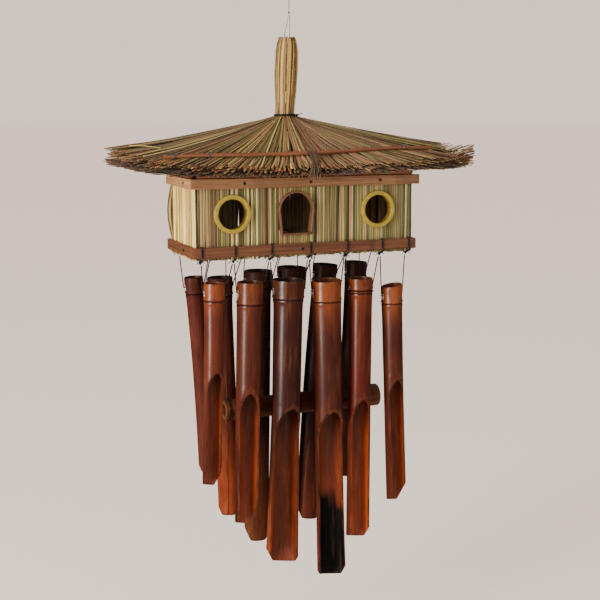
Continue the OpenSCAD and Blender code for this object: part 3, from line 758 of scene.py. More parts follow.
BATTEN_ROUTE = [
    (-145, -50, 102.2), (-100, -49.5, 103.2), (-55, -49, 103.2), (5, -48.5, 103.7),
    (75, -45, 106.2), (120, -41, 107.7), (155, -36, 106.7),
]
BATTEN_D = 4.2
WIRE_X = (-135, -100, 120)
WIRE_R = 2.6
RATTAN_TINT = srgb(140, 88, 56)

for side, label in ((1, "front"), (-1, "back")):
    shape = Shape()
    route = [(x, side * y, z) for x, y, z in BATTEN_ROUTE]
    path = smooth_path(route, 6.0)
    path[:, 2] += 0.35 * wave(path[:, 0] / 14, 21 + side)
    tone = 1 + 0.15 * wave(path[:, 0] / 30, 23 + side)[:, None]
    section = oval(BATTEN_D, BATTEN_D * 0.92, 12)
    shape.bar(path, section, RATTAN_TINT * tone, 0.3 * side, up=(0, 1, 0))
    shape.finish(f"{label}_batten_stick", "hut", ROOF, "rattan", [f"{label}_batten"])

batten_x, batten_y, batten_z = np.array(BATTEN_ROUTE, float).T
WIRE_TINT = srgb(120, 120, 124)
shape = Shape()
for side in (1, -1):
    for x in WIRE_X:
        y = np.interp(x, batten_x, batten_y)
        z = np.interp(x, batten_x, batten_z)
        wrap = np.linspace(-0.15, 1.65, 40) * 2 * math.pi
        around, above = WIRE_R * np.sin(wrap), WIRE_R * np.cos(wrap)
        loop = np.stack([x + 0.55 * wrap / 3.0 - 1, side * (y - around), z + above], 1)
        end = loop[-1] + [[2, side * -0.6, 2.4], [3.4, side * -1.6, 5.9]]
        path = smooth_path(np.vstack([loop, end]), 1.0)
        shape.bar(path, oval(0.8, 0.8), WIRE_TINT, x, up=(1, 0.1, 0))
shape.finish("batten_wire_ties", "hut", ROOF, "steel", ["batten_wires"])

# ---------- hut ----------

SLAT_TINT = srgb(152, 110, 70)
# the bottom slats are painted darker than the top ones: painted shade along the hut's lower edge
SLAT_PAINTED_SHADE = srgb(114, 68, 35)
# the left top slat is painted lighter than the others: painted light on the hut's lit left side
SLAT_PAINTED_LIGHT = srgb(206, 158, 108)
SLAT_DARK = srgb(128, 84, 56)


def plank(shape, low, high, seed, tint, edge=0.7, wander=0.22, patches=()):
    """A hand-cut strip of wood between two corners, with worn edges.

    patches are darker stretches: where they start and stop, and how much darker they are.
    """
    low, high = np.array(low, float), np.array(high, float)
    run = int(np.argmax(high - low))
    a, b = [k for k in range(3) if k != run]
    n = max(4, int((high - low)[run] / 5))
    t = np.linspace(low[run], high[run], n)
    ends = np.concatenate([[t[0]], [t[0] + 0.35], t[1:-1], [t[-1] - 0.35], [t[-1]]])
    path = np.zeros((len(ends), 3))
    path[:, run] = ends
    path[:, a] = (low[a] + high[a]) / 2 + 0.3 * wander * wave(ends / 25, seed)
    path[:, b] = (low[b] + high[b]) / 2 + wander * wave(ends / 30, seed + 1)
    up = np.zeros(3)
    up[a] = 1.0
    w, h = (high - low)[a], (high - low)[b]
    section = rounded_rect(w, h, min(edge, w / 2.2, h / 2.2))
    size = 1 - 0.012 * (1 + wave(ends / 22, seed + 2))
    size[[0, -1]] *= 0.93
    tone = 1 + 0.10 * wave(ends / 35, seed + 3)
    for start, stop, share in patches:
        tone *= 1 - share * ((ends > start) & (ends < stop))
    shape.bar(path, section, np.outer(tone, tint), seed * 0.37, up=up, size=size)


def mirror(low, high, axis):
    """The block on the other side of the hut."""
    low, high = list(low), list(high)
    low[axis], high[axis] = -high[axis], -low[axis]
    return low, high


GAP = 0.1
long_y = (-SLAT_Y, -STRAW_Y - GAP)
slats = {
    "front_top_slat": ((-SLAT_X, long_y[0], TOP_SLAT_Z), (SLAT_X + 3, long_y[1], HUT_H)),
    "front_bottom_slat": ((-SLAT_X, long_y[0], 0), (SLAT_X, long_y[1], BOTTOM_SLAT_H)),
    "left_top_slat": ((-SLAT_X, -STRAW_Y, TOP_SLAT_Z), (-STRAW_X - GAP, STRAW_Y, HUT_H)),
    "left_bottom_slat": ((-SLAT_X, -STRAW_Y, 0), (-STRAW_X - GAP, STRAW_Y, BOTTOM_SLAT_H)),
}
for name in list(slats):
    other = name.replace("front", "back").replace("left", "right")
    slats[other] = mirror(*slats[name], 1 if name.startswith("front") else 0)
PATCHES = {"front_bottom_slat": [(68, 78, 0.35)], "front_top_slat": [(102, 130, 0.3)]}
for seed, (name, (low, high)) in enumerate(slats.items()):
    shape = Shape()
    tint = SLAT_PAINTED_LIGHT if name == "left_top_slat" else SLAT_PAINTED_SHADE if "bottom" in name else SLAT_TINT
    plank(shape, low, high, 40 + 7 * seed, tint, patches=PATCHES.get(name, ()))
    shape.finish(f"{name}_wood", "hut", HUT, "pale_wood", [name])

LASH_ROOM = 1.4
shape = Shape()
seed = 90
for z, h in ((0, BOTTOM_SLAT_H), (TOP_SLAT_Z, TOP_SLAT_H)):
    for axis, low, high in (
        (1, (-RAIL_X + GAP, -RAIL_Y + GAP, z), (RAIL_X - GAP, -INSIDE_Y, z + h)),
        (0, (-RAIL_X + GAP, -INSIDE_Y + LASH_ROOM, z), (-INSIDE_X, INSIDE_Y - LASH_ROOM, z + h)),
    ):
        for block in ((low, high), mirror(low, high, axis)):
            seed += 5
            plank(shape, *block, seed, SLAT_TINT)
shape.finish("inner_rail_woods", "hut", HUT, "pale_wood", ["inner_rails"])

POST = 5.0
shape = Shape()
for sx in (-1, 1):
    for sy in (-1, 1):
        xs = sorted((sx * (INSIDE_X - GAP), sx * (INSIDE_X - POST)))
        ys = sorted((sy * (INSIDE_Y - LASH_ROOM), sy * (INSIDE_Y - LASH_ROOM - POST)))
        low, high = (xs[0], ys[0], BOTTOM_SLAT_H), (xs[1], ys[1], TOP_SLAT_Z)
        plank(shape, low, high, 140 + 3 * sx + sy, SLAT_DARK)
shape.finish("corner_post_woods", "hut", HUT, "pale_wood", ["corner_posts"])

FRONT_REEDS = palette(
    (160, 138, 84), (126, 114, 62), (170, 148, 94), (112, 108, 62), (166, 126, 82),
    (96, 84, 48), (142, 126, 66), (192, 172, 116), (136, 102, 66), (106, 104, 60), (70, 56, 36),
)
# the left wall's reeds are painted much lighter than the others: painted light on the hut's lit
# left side
LEFT_REEDS_PAINTED_LIGHT = palette(
    (246, 212, 122), (240, 186, 118), (224, 196, 86), (250, 224, 140), (222, 160, 100),
    (198, 178, 72), (240, 206, 108), (128, 90, 50),
)
BACK_REEDS = palette((138, 116, 74), (116, 102, 60), (152, 130, 82), (98, 82, 50))
SHADED = 0.38  # the inner reeds are painted darker: painted shade inside the hut

WINDOW_X = (-82.0, 80.0)
WINDOW_Z = 43.5
RING_R = 19.6
DOOR_X = -13.0
DOOR_R = 19.9
DOOR_ARCH_Z = 45.5
DOOR_FOOT_Z = 22.2
DOOR_FOOT = 17.25
DOOR_REACH = 15.0
TRIM_T = 2.0


def window_span(x, centre):
    """Heights between which a window is open at x, or None."""
    d = abs(x - centre)
    r = RING_R - 0.6
    if d >= r:
        return None
    h = math.sqrt(r * r - d * d)
    return WINDOW_Z - h, WINDOW_Z + h


def door_span(x):
    """Heights between which the door is open at x, or None."""
    d = abs(x - DOOR_X)
    r = DOOR_R - 0.4
    if d >= r:
        return None
    top = DOOR_ARCH_Z + math.sqrt(r * r - d * d)
    side_x = r * math.cos(math.radians(DOOR_REACH))
    side_z = DOOR_ARCH_Z - r * math.sin(math.radians(DOOR_REACH))
    if d > side_x:
        return DOOR_ARCH_Z - math.sqrt(r * r - d * d), top
    return np.interp(d, [DOOR_FOOT, side_x], [DOOR_FOOT_Z - TRIM_T, side_z]), top


def open_span(x):
    """Heights between which the front wall is open at x, or None."""
    for span in (*(window_span(x, c) for c in WINDOW_X), door_span(x)):
        if span:
            return span
    return None


REED_FOOT = -2.0
REED_TOP = HUT_H - 0.5
REED_T = 1.25
REED_MIDDLE = 38.0  # the height about which a reed leans
REED_OVERLAP = 0.9  # from one reed to the next, as a share of its width
SLIT_REACH = 0.9  # no reed stands this near the middle of a slit


def reed(shape, x, y, w, z0, z1, slopes, tint, seed, rng, tilt=0.0):
    """One flattened reed standing at x, y. slopes slant its lower and upper ends."""
    n = max(3, int((z1 - z0) / 8))
    z = np.linspace(z0, z1, n)
    across = x + tilt * (z - REED_MIDDLE) + 0.12 * wave(z / 14, seed)
    path = np.stack([across, y + 0.12 * wave(z / 9, seed + 1), z], 1)
    section = oval(REED_T, w)
    points, along = sweep(path, section, up=(0, 1, 0), size=rng.uniform(0.92, 1.05))
    points[0, :, 2] += slopes[0] * (points[0, :, 0] - x)
    points[-1, :, 2] += slopes[1] * (points[-1, :, 0] - x)
    tone = 1 + 0.10 * wave(z / 18, seed + 2)
    tone *= np.interp(z, [REED_FOOT, 6, 74, REED_TOP], [0.75, 1, 1, 0.8])
    grain = grain_of(section, along + z0, rng.uniform())
    shape.grid(points, np.outer(tone, tint), grain, cap_slot=1)


def reed_row(shape, start, stop, y, colours, rng, cut=False, slits=()):
    """A row of reeds side by side from start to stop, at depth y.

    cut leaves the windows and the door open, and slits are places with no reed.
    """
    x = start
    while x < stop - 1:
        w = min(rng.uniform(1.3, 3.3), stop - x + 0.6)
        if any(abs(x + w / 2 - slit) < SLIT_REACH for slit in slits):
            x += SLIT_REACH
            continue
        centre = x + w / 2
        tint = pick(rng, colours, 0.2)
        tilt = rng.normal(0, 0.014)
        foot = REED_FOOT - rng.uniform(-0.8, 1.4)
        place = (centre, y + rng.uniform(-0.18, 0.18))
        span = open_span(centre) if cut else None
        seed = int(rng.integers(1 << 30))
        if span is None:
            reed(shape, *place, w, foot, REED_TOP, (0, 0), tint, seed, rng, tilt)
        else:
            left = open_span(centre - w / 2) or span
            right = open_span(centre + w / 2) or span
            slopes = [np.clip((right[k] - left[k]) / w, -2.5, 2.5) for k in (0, 1)]
            if span[0] > foot + 2:
                reed(shape, *place, w, foot, span[0], (0, slopes[0]), tint, seed, rng)
            reed(shape, *place, w, span[1], REED_TOP, (slopes[1], 0), tint, seed, rng)
        x += w * REED_OVERLAP


OUTER_ROW, INNER_ROW = 0.65, 2.2  # depths of the two rows of reeds in the front and back wall
SLITS = (-46.0, 36.0, 41.0)  # daylight comes between the back wall's reeds here
rng = np.random.default_rng(31)
for name, side, colours, shift, cut, slits in (
    ("front_wall", -1, FRONT_REEDS, 1.0, True, ()),
    ("back_wall", 1, BACK_REEDS, 1.4, False, SLITS),
):
    shape = Shape()
    for start, depth, tints in (
        (-RAIL_X, OUTER_ROW, colours), (-RAIL_X + shift, INNER_ROW, colours * SHADED)
    ):
        reed_row(shape, start, RAIL_X, side * (STRAW_Y - depth), tints, rng, cut, slits)
    shape.finish(f"{name}_reeds", "hut", HUT, "wall_straw", [name])

# place along the left wall, how far it springs out, colour
SPRUNG_REEDS = [(STRAW_Y - 1.8, 4.2, srgb(92, 76, 34)), (STRAW_Y - 5.0, 2.6, srgb(160, 132, 62))]
for name, side, colours in (("left_wall", -1, LEFT_REEDS_PAINTED_LIGHT), ("right_wall", 1, FRONT_REEDS)):
    shape = Shape()
    reed_row(shape, -STRAW_Y, STRAW_Y, 0.0, colours, rng)
    reed_row(shape, -STRAW_Y, STRAW_Y, 1.55, colours * SHADED, rng)
    if side < 0:
        for place, bow, tint in SPRUNG_REEDS:
            z = np.linspace(BOTTOM_SLAT_H + 1, TOP_SLAT_Z - 1, 12)
            out = bow * np.sin(np.linspace(0, math.pi, len(z)))
            path = np.stack([place + 0 * z, -out, z], 1)
            shape.bar(path, oval(1.5, 4.0), tint, 0.3, up=(0, 1, 0), cap_slot=1)
    for p in shape.points:
        depth = p[:, 1].copy()
        p[:, 1] = p[:, 0] * -side
        p[:, 0] = side * (STRAW_X - 0.65 - depth)
    shape.finish(f"{name}_reeds", "hut", HUT, "wall_straw", [name])

# window rings: slices of a bamboo culm
RING_WALL = 4.5
RING_DEPTH = 9.5
RING_FRONT_Y = -SLAT_Y + 0.5
RING_FACE = srgb(170, 148, 38)
RING_SKIN = srgb(134, 112, 34)
RING_BORE = srgb(104, 80, 26)
for x, name, seed in zip(WINDOW_X, ("left_window_ring", "right_window_ring"), (51, 52)):
    shape = Shape()
    section = rounded_rect(RING_WALL, RING_DEPTH, 0.9, 4)
    a = circle(96)
    middle = RING_R - RING_WALL / 2
    round_r = middle + 0.12 * wave(np.sin(a) * 3, seed)
    points = np.zeros((len(a), len(section), 3))
    uneven = round_r + 0.10 * wave(np.cos(a) * 4, seed + 1)
    radial = section[None, :, 0] + uneven[:, None]
    points[..., 0] = x + radial * np.cos(a)[:, None]
    points[..., 1] = RING_FRONT_Y + RING_DEPTH / 2 + section[None, :, 1]
    points[..., 2] = WINDOW_Z + radial * np.sin(a)[:, None]
    face = np.clip((-section[:, 1] - RING_DEPTH / 2 + 1.2) / 1.2, 0, 1)
    skin = section[:, 0] > 0
    column = np.where(skin[:, None], RING_SKIN, RING_BORE)
    column = column * (1 - face[:, None]) + RING_FACE * face[:, None]
    tone = 1 + 0.12 * wave(a * 2, seed + 2)
    tint = column[None] * tone[:, None, None]
    grain = np.stack([points[..., 0] + seed, points[..., 2], points[..., 1]], -1)
    shape.grid(points, tint, grain, closed=True)
    shape.finish(f"{name}_bamboo", "hut", HUT, "green_bamboo", [name])

# door trim: a split rattan strip bent into an arch, and a sill under it
DOOR_FRONT_Y = -SLAT_Y - 0.5
DOOR_BACK_Y = -INSIDE_Y - 1
shape = Shape()
trim_r = DOOR_R - TRIM_T / 2
arch = [
    (DOOR_X + trim_r * math.cos(a), DOOR_ARCH_Z + trim_r * math.sin(a))
    for a in np.radians(np.arange(-DOOR_REACH, 180 + DOOR_REACH + 1, 7.5))
]
foot_x = DOOR_FOOT - TRIM_T / 2
trim = [(DOOR_X + foot_x, DOOR_FOOT_Z), *arch, (DOOR_X - foot_x, DOOR_FOOT_Z)]
mid_y = (DOOR_FRONT_Y + DOOR_BACK_Y) / 2
trim_path = smooth_path([(x, mid_y, z) for x, z in trim], 2.5)
depth = DOOR_BACK_Y - DOOR_FRONT_Y
TRIM_TINT = srgb(112, 76, 50)
trim_tone = 1 + 0.14 * wave(np.arange(len(trim_path)) / 4, 61)
trim_section = rounded_rect(depth, TRIM_T, 0.6)
shape.bar(trim_path, trim_section, np.outer(trim_tone, TRIM_TINT), 0.6, up=(0, 1, 0))
sill_z = DOOR_FOOT_Z - 0.2
plank(
    shape, (DOOR_X - DOOR_FOOT, DOOR_FRONT_Y, sill_z - TRIM_T),
    (DOOR_X + DOOR_FOOT, DOOR_BACK_Y, sill_z), 62, TRIM_TINT,
)
shape.finish("door_trim_rattan", "hut", HUT, "rattan", ["door_trim"])

# roof frame under the thatch, and the bars of the floor
FRAME_D = 4.0
frame_z = HUT_H + FRAME_D / 2 + GAP
shape = Shape()
for k, sign in enumerate((-1, 1)):
    for along, place, reach in ((0, STRAW_Y + 0.5, RAIL_X), (1, STRAW_X + 1.5, INSIDE_Y)):
        t = np.linspace(-reach, reach, 30)
        path = np.zeros((30, 3))
        path[:, along] = t
        path[:, 1 - along] = sign * place + 0.15 * wave(t / 15, 71 + k + along)
        path[:, 2] = frame_z
        shape.bar(path, oval(FRAME_D, FRAME_D, 12), RATTAN_TINT * 0.8, 0.2 * k + along)
BEAM_W, BEAM_H = 4.4, 5.0
beam_x = NECK_X - HUT[0]
plank(
    shape, (beam_x - BEAM_W / 2, -RAIL_Y + 0.2, HUT_H + GAP),
    (beam_x + BEAM_W / 2, RAIL_Y - 0.2, HUT_H + GAP + BEAM_H), 75, SLAT_TINT,
)
shape.finish("roof_frame_sticks", "hut", HUT, "rattan", ["roof_frame"])

STRIKER_X = (50.0, 131.5, 205.0)
BAR_W = 4.0
BAR_Z = BOTTOM_SLAT_H + GAP
shape = Shape()
for k, t in enumerate(STRIKER_X):
    plank(
        shape, (t - BAR_W / 2, -RAIL_Y + 0.2, BAR_Z), (t + BAR_W / 2, RAIL_Y - 0.2, BAR_Z + BAR_W),
        80 + k, RATTAN_TINT,
    )
shape.finish("floor_bar_sticks", "hut", LEFT, "rattan", ["floor_bars"])

# nails: their outline is steps out from the wood's face, and the radius there
NAIL_TINT = srgb(62, 58, 58)
NAIL_STEPS = np.array([-8.0, -7.0, -0.05, 0.0, 0.45, 0.7, 0.8])
NAIL_RADII = np.array([0.1, 0.7, 0.7, 1.35, 1.5, 1.2, 0.6])
mid_top, mid_bottom = TOP_SLAT_Z + TOP_SLAT_H / 2, BOTTOM_SLAT_H / 2
nail_places = []
for side in (-1, 1):
    for t in (55, 127, 206):
        nail_places.append(((t - SLAT_X, side * SLAT_Y, mid_top), (0, side, 0)))
    nail_places.append(((118 - SLAT_X, side * SLAT_Y, mid_bottom), (0, side, 0)))
    for y, z in ((-18, mid_top), (-15, mid_bottom)):
        nail_places.append(((side * SLAT_X, y, z), (side, 0, 0)))
shape = Shape()
for place, out in nail_places:
    place, out = np.array(place), np.array(out)
    path = place + NAIL_STEPS[:, None] * out
    shape.bar(path, oval(2, 2, 14), NAIL_TINT, place[0], size=NAIL_RADII)
shape.finish("nail_heads", "hut", HUT, "steel", ["nails"])

# ---------- lashings and striker ----------

LASHING_X = (10.0, 45.0, 84.5, 127.5, 169.5, 210.0, 241.5)
KNOT_Z = -4.5
KNOT_R = 2.2
LASH_D = 1.04
LASH_GAP = 0.65  # from the wood to the middle of the cord
LASH_BEND = 1.0  # radius of the cord's bends at the wood's edges


def lashing(shape, t, side, rng):
    """Two turns of cord round the bottom slat, the straw and the rail, and the knot below."""
    low_y, high_y = SLAT_Y + LASH_GAP, INSIDE_Y - LASH_GAP
    low_z, high_z = REED_FOOT - LASH_GAP, BOTTOM_SLAT_H + LASH_GAP
    r = LASH_BEND
    corners = []
    for cy, cz, start in (
        (low_y - r, low_z + r, 270), (low_y - r, high_z - r, 0),
        (high_y + r, high_z - r, 90), (high_y + r, low_z + r, 180),
    ):
        for k in range(4):
            a = math.radians(start + 30 * k)
            corners.append((cy + r * math.cos(a), cz + r * math.sin(a)))
    for offset in (-LASH_D / 2, LASH_D / 2):
        skew = rng.uniform(-0.12, 0.12)
        path = []
        for k, (y, z) in enumerate(corners):
            y2, z2 = corners[(k + 1) % len(corners)]
            n = max(1, int(math.hypot(y2 - y, z2 - z) / 1.2))
            for j in range(n):
                yy, zz = y + (y2 - y) * j / n, z + (z2 - z) * j / n
                path.append((t + offset + skew * math.sin(zz), side * yy, zz))
        path = np.array(path)
        twist = twist_round(len(path), 7)
        seed = rng.uniform()
        section = lobed(LASH_D + 0.04)
        shape.bar(path, section, BLACK, seed, up=(1, 0.01, 0), twist=twist, closed=True)
    seed = rng.uniform()
    place = (t, side * ROW_Y, KNOT_Z)
    add_knot(shape, place, KNOT_R, 1.25, BLACK, seed, turn=rng.uniform(0, 3))
    neck = [(t, side * ROW_Y, -2.4), (t - 0.4, side * ROW_Y, -3.4), place]
    add_cord(shape, neck, 1.3, BLACK, 0.1)
    for way, reach in ((1, rng.uniform(3.4, 4.6)), (-1, rng.uniform(2.8, 4.2))):
        y = side * (ROW_Y + 0.3)
        end = [
            (t + way * 1.3, y, KNOT_Z + 0.2),
            (t + way * 2.6, y, KNOT_Z + rng.uniform(-0.3, 0.8)),
            (t + way * (1.6 + reach * 0.6), y + side * 0.3, KNOT_Z - rng.uniform(0.2, 1.4)),
            (t + way * (1.3 + reach), y + side * 0.4, KNOT_Z - rng.uniform(0.8, 2.6)),
        ]
        add_cord(shape, end, 0.9, BLACK, 0.2)


for name, side in (("front_lashings", 1), ("back_lashings", -1)):
    shape = Shape()
    rng = np.random.default_rng(91 + side)
    for t in LASHING_X:
        lashing(shape, t, -side, rng)
    shape.finish(f"{name}_cord", "hut", LEFT, "black_cord", [name])

STRIKER_KNOT_Z = -3.0
STRIKER_FROM, STRIKER_TO = 46.0, 228.0
STRIKER_DROP = 172.0
STRIKER_D = (22.0, 25.0)
STRIKER_RING = 10.6  # the raised ring's distance from the left end
STRIKER_DIP = 18.2  # the dip's distance from the right end
shape = Shape()
for k, t in enumerate(STRIKER_X):
    side = BAR_W / 2 + CORD_D / 2 + GAP
    top = BAR_Z + BAR_W + CORD_D / 2 + GAP
    half = [
        (0.9, 0, STRIKER_KNOT_Z + KNOT_R + GAP), (1.6, 0, 4), (side, 0, 9), (side, 0, top - 0.7),
        (side - 0.7, 0, top),
    ]
    route = half + [(-x, y, z) for x, y, z in reversed(half)]
    add_cord(shape, [(t + x, y, z) for x, y, z in route], CORD_D, BLACK, 0.3 * k)
    add_knot(shape, (t, 0, STRIKER_KNOT_Z), KNOT_R, 1.3, BLACK, 0.2 * k, turn=k)
    end = [(t + 1.5, 0, -3), (t + 3.2, -0.5, -3.1), (t + 4.8, -0.8, -3.7), (t + 6, -1, -4)]
    add_cord(shape, end, 1.0, BLACK, 0.4)
shape.finish("striker_knot_cords", "hut", LEFT, "black_cord", ["striker_knots"])


def striker_r(t):
    """The striker's radius at t: it thickens to the right."""
    share = (t - STRIKER_FROM) / (STRIKER_TO - STRIKER_FROM)
    return (STRIKER_D[0] + (STRIKER_D[1] - STRIKER_D[0]) * share) / 2


STRIKER_TINT = srgb(84, 40, 22)
STRIKER_PALE = srgb(128, 84, 48)
STRIKER_END = srgb(104, 62, 38)
# the hollow in each end is painted dark, darker at its rim and darkest in its middle: painted shade
STRIKER_HOLLOW_SHADE = srgb(66, 36, 22)
shape = Shape()
length = STRIKER_TO - STRIKER_FROM
from_left = np.array([0.0, 0.25, 1.0, 4, 8, 9.5, 10.5, 11.2, 12.2, 14])
from_right = np.array([19, 17.2, 16.4, 15, 8, 1.0, 0.25, 0])
steps = np.concatenate([from_left, np.linspace(20, length - 24, 24), length - from_right])
radii = striker_r(STRIKER_FROM + steps)
for height, where in ((0.5, STRIKER_RING), (-0.35, length - STRIKER_DIP)):
    radii += height * np.exp(-(((steps - where) / 0.9) ** 2))
radii[[0, -1]] -= 0.8
radii[[1, -2]] -= 0.25
a = circle(36)
points = np.zeros((len(steps), len(a), 3))
points[..., 0] = STRIKER_FROM + steps[:, None]
points[..., 1] = radii[:, None] * np.cos(a)
points[..., 2] = radii[:, None] * np.sin(a) - STRIKER_DROP
share = np.interp(steps, [0, length - 30, length - 14, length], [0.1, 0.0, 0.6, 0.9])
tint = between(STRIKER_TINT, STRIKER_PALE, share)
ALONG_X = [1, 2, 0]  # the grain of a culm that lies along X
shape.grid(points, tint, points[..., ALONG_X], caps=False)
# rings of an end: share of the radius, how far in from the end, colour
STRIKER_RINGS = [
    (1, 0, STRIKER_END), (0.9, 0, STRIKER_END), (0.6, 0, STRIKER_END * 0.8),
    (0.58, 6.0, STRIKER_HOLLOW_SHADE), (0.02, 6.4, STRIKER_HOLLOW_SHADE * 0.5),
]
for row, way in ((0, -1), (-1, 1)):
    rings = np.stack([
        points[row] * [1, k, k] + [-way * d, 0, -STRIKER_DROP * (1 - k)]
        for k, d, _ in STRIKER_RINGS
    ])
    if way < 0:
        rings = rings[:, ::-1]
    ring_tint = np.stack([tint for _, _, tint in STRIKER_RINGS])
    shape.grid(rings, ring_tint, rings[..., ALONG_X], caps=False, slot=1)
shape.finish(
    "striker_bamboo", "striker", LEFT, "stained_bamboo", ["striker"], [CULM, CULM_CUT], weld=True
)

shape = Shape()
for k, t in enumerate(STRIKER_X):
    r = striker_r(t)
    foot = -STRIKER_DROP + r + CORD_D + 0.2
    top = STRIKER_KNOT_Z - KNOT_R - 0.3
    route = [(t, 0, top), (t + 0.15, 0, -50), (t - 0.15, 0, -100), (t, 0, foot)]
    add_cord(shape, route, CORD_D, BLACK, 0.5 + 0.1 * k, step=2.0)
    a = circle(72)
    y, z = (r + CORD_D / 2 + 0.1) * np.array([np.sin(a), np.cos(a)])
    loop = np.stack([t + 0.25 * np.sin(a), y, z - STRIKER_DROP], 1)
    shape.bar(
        loop, lobed(CORD_D * SWELL), BLACK, 0.7, up=(1, 0, 0), closed=True,
        twist=twist_round(len(a), 14),
    )
    add_knot(shape, (t, 0, foot - 0.2), 1.9, 1.2, BLACK, 0.8, turn=1.5 + k)
shape.finish("striker_cord_loops", "striker", LEFT, "black_cord", ["striker_cords"])

# ---------- tubes ----------

HOLE_DROP = 10.5
HOLE_D = 3.0
SEPTUM_T = 2.5
TUBE_WALL, MIN_WALL = 0.075, 1.8
SCOOP_SLANT = 2.2  # length of the scoop's slope, in radii of the tube
SCOOP_KNEE, SCOOP_EASE = 0.68, 0.18  # where the slope flattens, and how far from its end it is
CHAMFER_SLOPE = 1.7
FOOT_SLANT = math.radians(24)  # the front row's feet are cut higher towards the front
FOOT_TURN = math.radians(-22)  # and a little towards the left

BODY = srgb(82, 34, 19)
BODY_DARK = srgb(46, 21, 15)
# the back row's dark tops: charring, and painted shade under the hut; the cups darken towards it
BACK_TOP_CHAR_AND_SHADE = srgb(56, 27, 18)
INSIDE = srgb(138, 58, 23)
CUT = srgb(100, 46, 22)
CHAR = srgb(14, 9, 8)

# name, place along the hut, diameters of the body, the top and the foot, length, distance
# from the top to the scoop, drop below the hut, lean in degrees, turn of the scoop to the
# right, how far short of the middle it stops, widths cut off the bottom corners, how far the
# middle bends to the right, distances from the top to the joint's grooves, slant of the top,
# colours of the top, the body and the foot, share of the length where the charring starts
Tube = namedtuple(
    "Tube",
    "name t d d_top d_foot length scoop drop lean face keep chamfers bow grooves slant"
    " top_tint body_tint foot_tint char",
)
TUBES = [Tube(*row) for row in (
    ("f1", 24.4, 20.5, 22.3, 19.9, 217, 87, 26, -1.5, 10, 0.33, (0.02, 0.42), 0.3, (18,), 0.0,
     srgb(138, 66, 28), srgb(96, 42, 26), srgb(80, 32, 18), None),
    ("f2", 63, 26.3, 27.2, 25.2, 265, 108, 27, -1.3, -8, 0.42, (0.02, 0.5), -0.4, (23,), 0.02,
     srgb(104, 48, 20), srgb(84, 33, 19), srgb(52, 22, 14), None),
    ("f3", 105.4, 31, 35, 37, 317, 131, 27, -1.4, 10, 0.17, (0.2, 0.12), 0.3, (20,), 0.0,
     srgb(74, 33, 17), srgb(58, 24, 17), srgb(130, 54, 20), None),
    ("f4", 148, 30.4, 31.2, 32.5, 338, 137, 30, 1.5, 3, 0.1, (0.07, 0.18), -0.3, (22,), 0.03,
     srgb(134, 66, 27), srgb(74, 31, 19), srgb(92, 36, 17), 0.70),
    ("f5", 188, 25.5, 26.4, 26, 296, 126, 30, -0.1, 0, 0.36, (0.02, 0.2), 0.2, (12.5, 15.5), 0.0,
     srgb(118, 54, 22), srgb(90, 29, 17), srgb(92, 38, 18), None),
    ("f6", 225.4, 22, 22.6, 22.3, 249, 98, 40, 2.3, 5, 0.42, (0.02, 0.44), -0.4, (19.5,), 0.14,
     srgb(138, 70, 27), srgb(78, 32, 19), srgb(86, 32, 17), None),
    ("b1", 26, 20, 21, 19.6, 222, 90, 31, 3.4, 0, 0.3, (0.3, 0.1), 1.6, (18,), 0.0,
     srgb(72, 30, 20), srgb(88, 35, 21), srgb(96, 42, 22), None),
    ("b2", 56, 25, 27.9, 25.4, 270, 112, 33, 1.8, 0, 0.3, (0.18, 0.06), 0.2, (20,), 0.0,
     srgb(64, 28, 17), srgb(84, 34, 19), srgb(136, 57, 20), None),
    ("b3", 101, 28, 31.6, 27.6, 310, 132, 28, -0.9, 0, 0.3, (0.29, 0.1), 0.4, (19,), 0.0,
     BACK_TOP_CHAR_AND_SHADE, BODY_DARK, srgb(90, 44, 17), None),
    ("b4", 140.8, 28, 31.6, 27.6, 287, 122, 26, -2.2, 0, 0.3, (0.2, 0.12), -0.4, (21,), 0.0,
     BACK_TOP_CHAR_AND_SHADE, BODY_DARK, BODY_DARK, None),
    ("b5", 182, 26.5, 27.6, 26, 297, 128, 25, -4.2, 0, 0.3, (0.24, 0.14), -3.0, (20,), 0.0,
     BACK_TOP_CHAR_AND_SHADE, srgb(34, 18, 15), srgb(86, 34, 19), None),
    ("b6", 220, 24, 25, 23.6, 252, 104, 24, -3, 0, 0.3, (0.2, 0.2), 0.4, (18,), 0.0,
     BACK_TOP_CHAR_AND_SHADE, srgb(38, 19, 15), BODY, None),
)]
INSIDE_SHADE = {"f3": 0.72, "f5": 1.35, "b3": 0.8, "b4": 0.7, "b5": 0.7}
CHAMFER_SPAN = 30.0  # the stretch of rows that bend up to the chamfered foot
FOOT_SPAN = 26.0  # the stretch of closer rows at the foot
COLUMNS = 44
# a groove's bulges and its dip: height, distance below the groove's place, width
GROOVE_PROFILE = ((0.75, -1.6, 1.3), (-0.55, 0.2, 0.55), (0.35, 2.0, 1.2))
GROOVE_ROWS = (-4, -2.6, -1.6, -0.8, -0.3, 0.2, 0.7, 1.3, 2, 3, 4.5)


